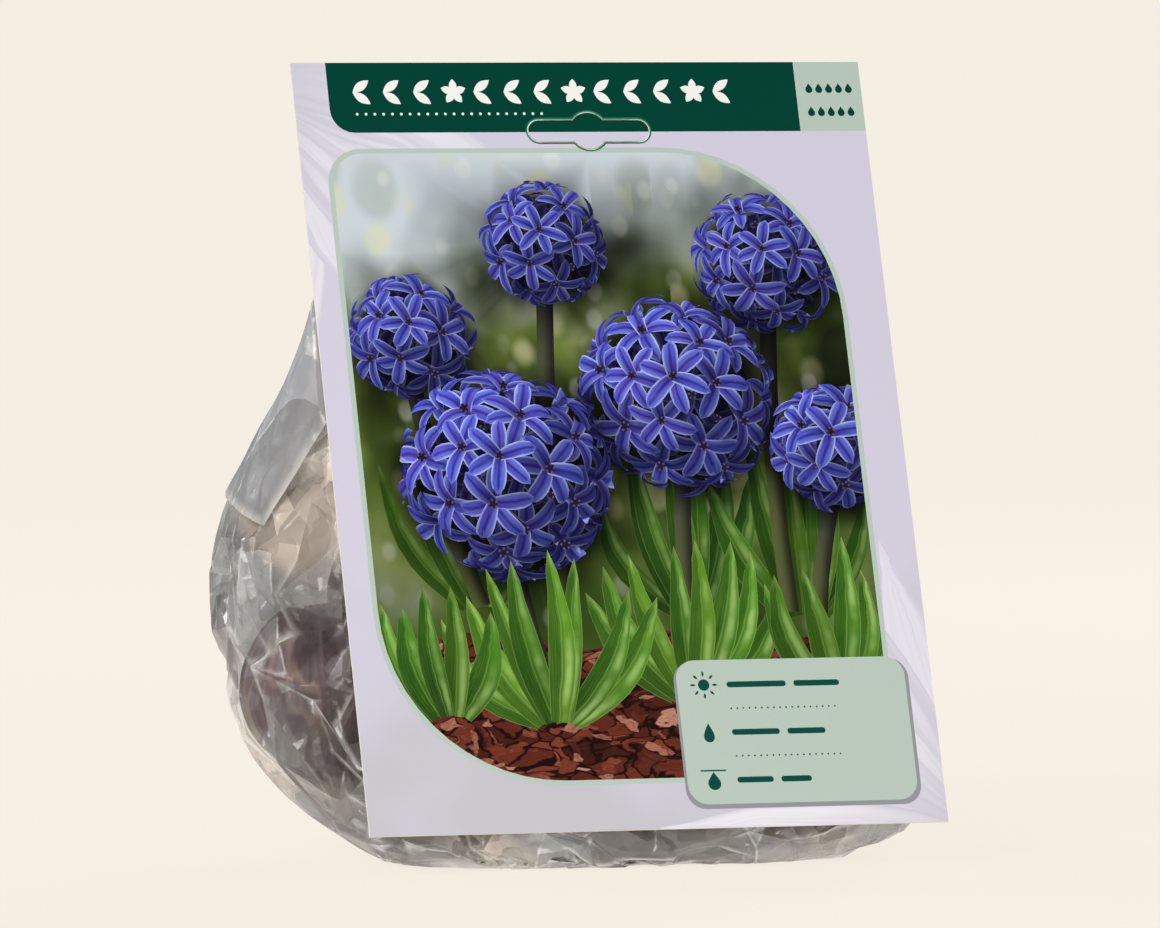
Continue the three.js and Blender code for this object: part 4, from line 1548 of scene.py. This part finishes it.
def crumple(points, home, triangles, down, rounds, seed):
    """Lets the net find its folds. Home is where its points started, on the envelope."""
    rng = np.random.default_rng(seed)
    edges, across = net_links(triangles)
    links = np.concatenate([edges, across])
    true = true_lengths(home, links, len(edges))
    bends = np.arange(len(links)) >= len(edges)
    count = np.bincount(edges.ravel(), minlength=len(points)).clip(1)
    wall = (down <= NET["rows"] + 0.1) & (down > 0.5)
    inset = np.where(down > NET["rows"] - 2.5, FILM["foot_inset"], FILM["inset"])
    inset[~wall] = np.inf
    floor = down > NET["rows"] + 0.4
    held = down < 0.5
    points = points + rng.normal(0, FILM["shake"], points.shape) * ~held[:, None]
    for turn in range(rounds):
        if turn % FILM["look"] == 0:
            reach = np.linalg.norm(points[:, None] - ball_middles, axis=2) - ball_radii
            near = np.nonzero(reach < FILM["near"])
        before = points[held].copy()
        pull_to_length(points, links, true, bends, count)
        keep_off_bulbs(points, near)
        keep_in_envelope(points, inset)
        keep_behind_card(points)
        lowest = foot_height(points)
        points[:, 2] = np.where(floor, lowest, points[:, 2].clip(lowest, MOUTH))
        points[held] = before
    length = np.linalg.norm(points[edges[:, 0]] - points[edges[:, 1]], axis=1)
    strain = np.abs(length / true[:len(edges)] - 1).mean()
    print("crumpled", len(points), "points in", rounds, "rounds, mean strain", round(float(strain), 4))
    return points


home, net, down = film_net(np.random.default_rng(FILM_SEED))
film = crumple(home.copy(), home, net, down, ROUNDS[0], FILM_SEED)
net, film, home, down = split_net(net, film, home, down)
film = crumple(film, home, net, down, ROUNDS[1], FILM_SEED + 1)
net, film, down = split_net(net, film, down)
print("film:", len(film), "points,", len(net), "triangles")

# %% [markdown]
# ## Clear film
# Crumpled film is hardly clear: each layer takes away some light, and every facet throws back another part
# of the room. So the finish paints that reflection and shade: a grey haze that differs from facet to facet,
# some large facets painted dark and small ones painted a little lighter or darker. It is thin where the film
# lies on a bulb and in clear patches. In warm patches it is thick and cream, a painted glow of warm light
# shining through. Where a crease has stretched the film it turns white, part stress whitening and part
# painted highlight, and a few painted glints are scattered over it. The folded corner is smooth, and there
# the haze is even and matt.
#
# Below the folds of the mesh lie finer ones. They come from a height made of flat facets: the squared
# distance to the nearest of one set of scattered points, less that to the nearest of another set, is a
# plane in every cell.

# %% Film finish
BAG_VALUES = ("fold", "smooth", "touch", "clear", "warm") # what each point of the bag's mesh carries
FACETS = ((70.0, 0.0022), (210.0, 0.0004)) # facets to the metre, and how deep they go
LOW = (0.01, 0.06) # the film is more crushed below these heights, in metres


def facet_height(recipe, where, scale):
    """A surface of flat facets that meet in sharp creases."""
    squares = []
    for shift in (0.0, 3.7):
        moved = recipe.vector_maths("ADD", where, (shift, shift * 0.6, shift * 1.3))
        near = recipe.cells(moved, scale)
        squares.append(near * near)
    return squares[0] - squares[1]


def film_material():
    recipe = Recipe("clear_film")
    where = recipe.place()
    slanted = recipe.place((1.25, 1.25, 0.7), (0.5, 0.35, 0.2))
    fold, smooth, touch, clear, warm = (recipe.attribute(name) for name in BAG_VALUES)
    low = 1 - recipe.part(where, 2).between(*LOW)
    warm = warm * (1 - 0.5 * low)
    facet = recipe.cells(slanted, 44.0, "Color")
    pick, layer = recipe.part(facet, 0), recipe.part(facet, 1)
    shade = recipe.part(recipe.cells(slanted, 125.0, "Color"), 2)
    edge = recipe.cells(slanted, 44.0, feature="DISTANCE_TO_EDGE")
    drift = recipe.noise(where, 17, 2.0, 0.5)
    scuff_and_glint = recipe.noise(where, 120, 4.0, 0.6)
    # Painted light: a cream glow of warm light shining through the film, strongest in the warm patches.
    painted_warm_glow = (0.5 * drift + 0.5 * warm + 0.06 * touch - 0.2 * smooth).between(0.27, 0.68)
    cool = recipe.mix(smooth, paint(168, 170, 173), paint(161, 164, 171))
    colour = recipe.mix(painted_warm_glow, cool, paint(233, 220, 206))
    # Painted shade and reflection: some large facets are painted a dark grey brown.
    dark = layer.between(0.3, 0.7) * 0.75 * (1 - 0.7 * smooth) * (1 - 0.5 * warm)
    colour = recipe.mix(dark, colour, recipe.mix(warm, paint(88, 83, 79), paint(116, 102, 92)))
    # Painted light and shade on small facets: each is scaled a little lighter or darker by lot.
    tone = 1 + (shade - 0.5) * (0.5 + 0.3 * warm) * (1 - 0.75 * smooth)
    colour = recipe.scaled(colour, tone)
    # Painted highlight, partly stress whitening: white lines along some cell edges, white where the film
    # folds sharply, and scattered painted glints.
    crease = (1 - edge.between(0.0, 0.03)) * scuff_and_glint.between(0.48, 0.62)
    white = crease * 0.75 + fold.between(0.25, 0.9) * 0.7 + scuff_and_glint.between(0.66, 0.74) * 0.3
    white = white.clamped()
    colour = recipe.mix(white, colour, paint(240, 240, 236))
    haze = 0.36 + 0.3 * pick.between(0.1, 0.9) + 0.3 * white + 0.2 * smooth - 0.34 * touch
    haze = haze - 0.26 * clear + 0.26 * warm + 0.12 * (shade - 0.5)
    coarse = facet_height(recipe, where, FACETS[0][0]) * (1 - 0.55 * smooth) * (1 + 0.7 * low)
    fine = facet_height(recipe, where, FACETS[1][0]) * (1 - 0.4 * smooth)
    normal = recipe.bump(fine, FACETS[1][1], 1.0, recipe.bump(coarse, FACETS[0][1], 1.0))
    return recipe.finish(Base_Color=colour, Alpha=haze.maths("MAXIMUM", 0.08).clamped(),
                         Roughness=0.16 + 0.14 * scuff_and_glint + 0.26 * smooth, Specular_IOR_Level=1.0,
                         Coat_Weight=0.6 - 0.48 * smooth, Coat_Roughness=0.06, Normal=normal)


film_finish = film_material()
print("clear film has", len(film_finish.node_tree.nodes), "nodes")

# %% [markdown]
# ## From net to film
# How sharply the film folds at a point comes from the angle between the facets that meet there. The mesh
# keeps it, and the finish whitens by it, part stress whitening and part painted highlight. The mesh also
# keeps where the film lies on a bulb, and where its clear patches are and its warm patches of painted glow.
# The gathered top corner is folded down over the bag's left side, as a smooth flap of its own net, and its
# edges get a painted white fold highlight. A real sheet has two sides, so Solidify gives the nets a thin
# wall.

# %% Film bag
WALL = 0.12 * MM
SHARP = 14 # degrees between facets from which their edge is drawn sharp
SIDES_SEEN = 24 # how many sides of film a line of sight may pass
TOUCH = (1.5, 9.0) # gaps to a bulb between which the film goes from touching to loose
PATCH = { # patches of the film: how large, how soft their edge, and for each kind its seed and its start
    "size": 34.0, "edge": 0.3, "clear": (104, 0.08), "warm": (482, 0.2),
}
FLAP = { # corners: the direction round the bag in degrees and the height, upper pair first, back one first
    "corners": (((236, 158), (128, 158)), ((201, 84), (146, 97))),
    "lift": 2.2, "dent": 0.9, "puff": 2.0, "across": 12, "down": 18,
}


def fold_of(points, triangles):
    """How sharply the facets meet round each point: 0 where they lie flat, almost 1 at a right angle."""
    sides = points[triangles]
    normals = np.cross(sides[:, 1] - sides[:, 0], sides[:, 2] - sides[:, 0])
    normals /= np.linalg.norm(normals, axis=1)[:, None].clip(1e-9)
    total, turned = np.zeros(len(points)), np.zeros((len(points), 3))
    for k in range(3):
        total += np.bincount(triangles[:, k], minlength=len(points))
        for axis in range(3):
            turned[:, axis] += np.bincount(triangles[:, k], normals[:, axis], len(points))
    return (1 - np.linalg.norm(turned, axis=1) / total.clip(1)) * 3


def on_envelope(turn, z, lift):
    """A point on the bag's envelope in a direction round it, lifted off it."""
    middle, half = envelope(z)
    way = np.stack([np.cos(turn), np.sin(turn)], -1)
    way = np.sign(way) * np.abs(way) ** (2 / SQUARE)
    return np.concatenate([middle + way * (half + lift[..., None]), z[..., None]], -1)


def folded_corner():
    """The bag's gathered top corner, folded down over its left side as one smooth flap."""
    across, down = np.meshgrid(np.linspace(0, 1, FLAP["across"]), np.linspace(0, 1, FLAP["down"]))
    upper, lower = np.array(FLAP["corners"], float)[..., None, None]
    place = (upper[0] * (1 - across) + upper[1] * across) * (1 - down)
    place += (lower[0] * (1 - across) + lower[1] * across) * down
    spots = zip(across.ravel(), down.ravel())
    dents = np.array([noise.noise(Vector((a * 3.1, d * 4.3, 9.0))) for a, d in spots])
    lift = FLAP["lift"] * (0.35 + 0.65 * down ** 0.5) + FLAP["dent"] * dents.reshape(across.shape)
    lift += FLAP["puff"] * np.exp(-((down - 0.22) / 0.2) ** 2)
    points = on_envelope(np.radians(place[0]), place[1], lift).reshape(-1, 3)
    count = FLAP["across"]
    corner = [r * count + c for r in range(FLAP["down"] - 1) for c in range(count - 1)]
    triangles = [t for a in corner for t in ((a, a + 1, a + count), (a + 1, a + count + 1, a + count))]
    # The flap's edges, which the finish paints white as a fold highlight.
    rim = (across == 0) | (across == 1) | (down == 1)
    return points, np.array(triangles), rim.ravel().astype(float)


def touch_of(points):
    """How closely the film lies on a bulb: 1 where it touches one, and 0 from some way off."""
    reach = np.linalg.norm(points[:, None] - ball_middles, axis=2) - ball_radii
    return 1 - ((reach.min(1) - TOUCH[0]) / (TOUCH[1] - TOUCH[0])).clip(0, 1)


def patches(points, seed, start):
    """Broad patches of the film, from 0 to 1, elsewhere for each seed, and smaller for a higher start."""
    shift = Vector((1.37, 2.11, 0.73)) * seed
    drift = np.array([noise.noise(Vector(p / PATCH["size"]) + shift) for p in points])
    return ((drift - start) / PATCH["edge"]).clip(0, 1)


def make_bag():
    """The film and its folded corner as one thin sheet, with the values that its finish reads."""
    flap, flap_net, rim = folded_corner()
    none = np.zeros(len(flap))
    values = (
        # The flap's edges count as folds, so the finish paints a white fold highlight along them.
        (fold_of(film, net).clip(0, 1), rim * 0.8), (np.zeros(len(film)), np.ones(len(flap))),
        (touch_of(film), none), (patches(film, *PATCH["clear"]), none),
        # Warm patches, where the finish paints a cream glow of light shining through the film.
        (patches(film, *PATCH["warm"]), none),
    )
    triangles = np.concatenate([net, flap_net + len(film)])
    bag = new_piece("crumpled_film_bag", np.concatenate([film, flap]) * MM, triangles.tolist(), film_finish)
    for name, parts in zip(BAG_VALUES, values):
        write(bag, name, "POINT", np.concatenate(parts))
    bag.data.shade_smooth()
    bag.data.set_sharp_from_angle(angle=math.radians(SHARP))
    wall = bag.modifiers.new("wall", "SOLIDIFY")
    wall.thickness = WALL
    wall.offset = -1
    fold = values[0][0]
    print("folds: mean", fold.mean().round(3), "share over 0.3", (fold > 0.3).mean().round(3))
    return bag


bag = make_bag()
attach(bag, "root")
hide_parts("film_bag")
bpy.context.scene.cycles.transparent_max_bounces = SIDES_SEEN

# %% [markdown]
# ## The studio
# The pack stands on pale seamless paper that curves up into a wall all round, so no edge shows behind it
# from any side. The paper near the pack lights it and shows in its gloss, and the paper round that doesn't.
# Much of the paper's light is its own, so it is as bright far from the lamps as near them. The lamps are
# soft: a key from the front left and a fill from the right, a low one in front, a warm one at the left side,
# and two behind the pack that draw its rim.

# %% Studio
FLOOR = paint(248, 241, 230)
GLOW = 0.9 # the share of the floor's light that is its own near the pack
FAR_GLOW = 0.972 # and far from it, where the lamps no longer count
FAR = (0.7, 2.0) # where the one turns into the other, in metres from the pack
STAGE = {"table": 0.9, "radius": 3.4, "curve": 1.2, "wall": 2.6, "sides": 96, "bend": 12} # lengths in metres
AIM = (0, 0, 0.09) # where every lamp looks
SKY = {"colour": (1.0, 0.99, 0.97, 1), "strength": 0.28}


def seamless_paper():
    recipe = Recipe("seamless_paper")
    distance = recipe.node("ShaderNodeVectorMath", {"operation": "LENGTH"}, {0: recipe.place()}, "Value")
    far = distance.between(*FAR)
    return recipe.finish(Base_Color=recipe.scaled(FLOOR, (1 - GLOW) * (1 - far)), Roughness=0.9,
                         Specular_IOR_Level=0.0, Emission_Strength=1.0,
                         Emission_Color=recipe.scaled(FLOOR, GLOW + (FAR_GLOW - GLOW) * far))


def spun_stage(name, profile, material, near):
    """A round part of the studio, spun from its profile. Only near paper lights the pack."""
    sides = STAGE["sides"]
    turns = np.arange(sides) * 2 * np.pi / sides
    points = [(r * math.cos(t), r * math.sin(t), z) for r, z in profile for t in turns]
    faces = []
    for a in range(0, (len(profile) - 1) * sides, sides):
        for i in range(sides):
            j = (i + 1) % sides
            faces.append((a + i, a + sides + i, a + sides + j, a + j))
    made = new_piece(name, points, faces, material)
    made.data.shade_smooth()
    made.visible_diffuse = near
    made.visible_glossy = near


def make_studio():
    """The paper near the pack, and round it the paper that curves up into a wall."""
    paper = seamless_paper()
    table, radius, curve, wall = (STAGE[key] for key in ("table", "radius", "curve", "wall"))
    bend = np.linspace(0, np.pi / 2, STAGE["bend"])
    rim = [(radius + math.sin(a) * curve, curve * (1 - math.cos(a))) for a in bend]
    spun_stage("studio_floor", [(0.0001, 0.0), (table, 0.0)], paper, True)
    spun_stage("studio_wall", [(table, 0.0), *rim, (radius + curve, wall)], paper, False)


def soft_lamp(name, place, size, power, colour=(1, 1, 1)):
    """A square soft lamp that looks at the pack, with its size in metres and its power in watts."""
    data = bpy.data.lights.new(name, "AREA")
    data.size = size
    data.energy = power
    data.color = colour
    lamp = bpy.data.objects.new(name, data)
    lamp.location = place
    aim = Vector(place) - Vector(AIM)
    lamp.rotation_euler = aim.to_track_quat("Z", "Y").to_euler()
    bpy.context.collection.objects.link(lamp)


make_studio()
soft_lamp("key", (-1.5, -1.3, 1.4), 0.7, 18)
soft_lamp("fill", (1.6, -1.2, 0.8), 1.0, 5.5)
soft_lamp("low", (-0.6, -1.5, 0.25), 0.4, 4.5)
soft_lamp("side", (-1.8, -0.95, 0.45), 0.6, 8, (1.0, 0.87, 0.72))
soft_lamp("rim", (-1.3, 1.2, 0.9), 0.5, 9)
soft_lamp("back", (1.2, 1.5, 1.0), 0.9, 22)
world = bpy.data.worlds.new("studio")
world.use_nodes = True
world.node_tree.nodes["Background"].inputs["Color"].default_value = SKY["colour"]
world.node_tree.nodes["Background"].inputs["Strength"].default_value = SKY["strength"]
bpy.context.scene.world = world
bpy.context.scene.view_settings.view_transform = "Standard"
print("lamps:", len(bpy.data.lights))

# %% [markdown]
# ## The end
# Last, the view layer is brought up to date, so every piece stands in its place. The finished pack has to
# stay within the solids' box, give or take what soft film may stand proud of it.

# %% Finish
bpy.context.view_layer.update()
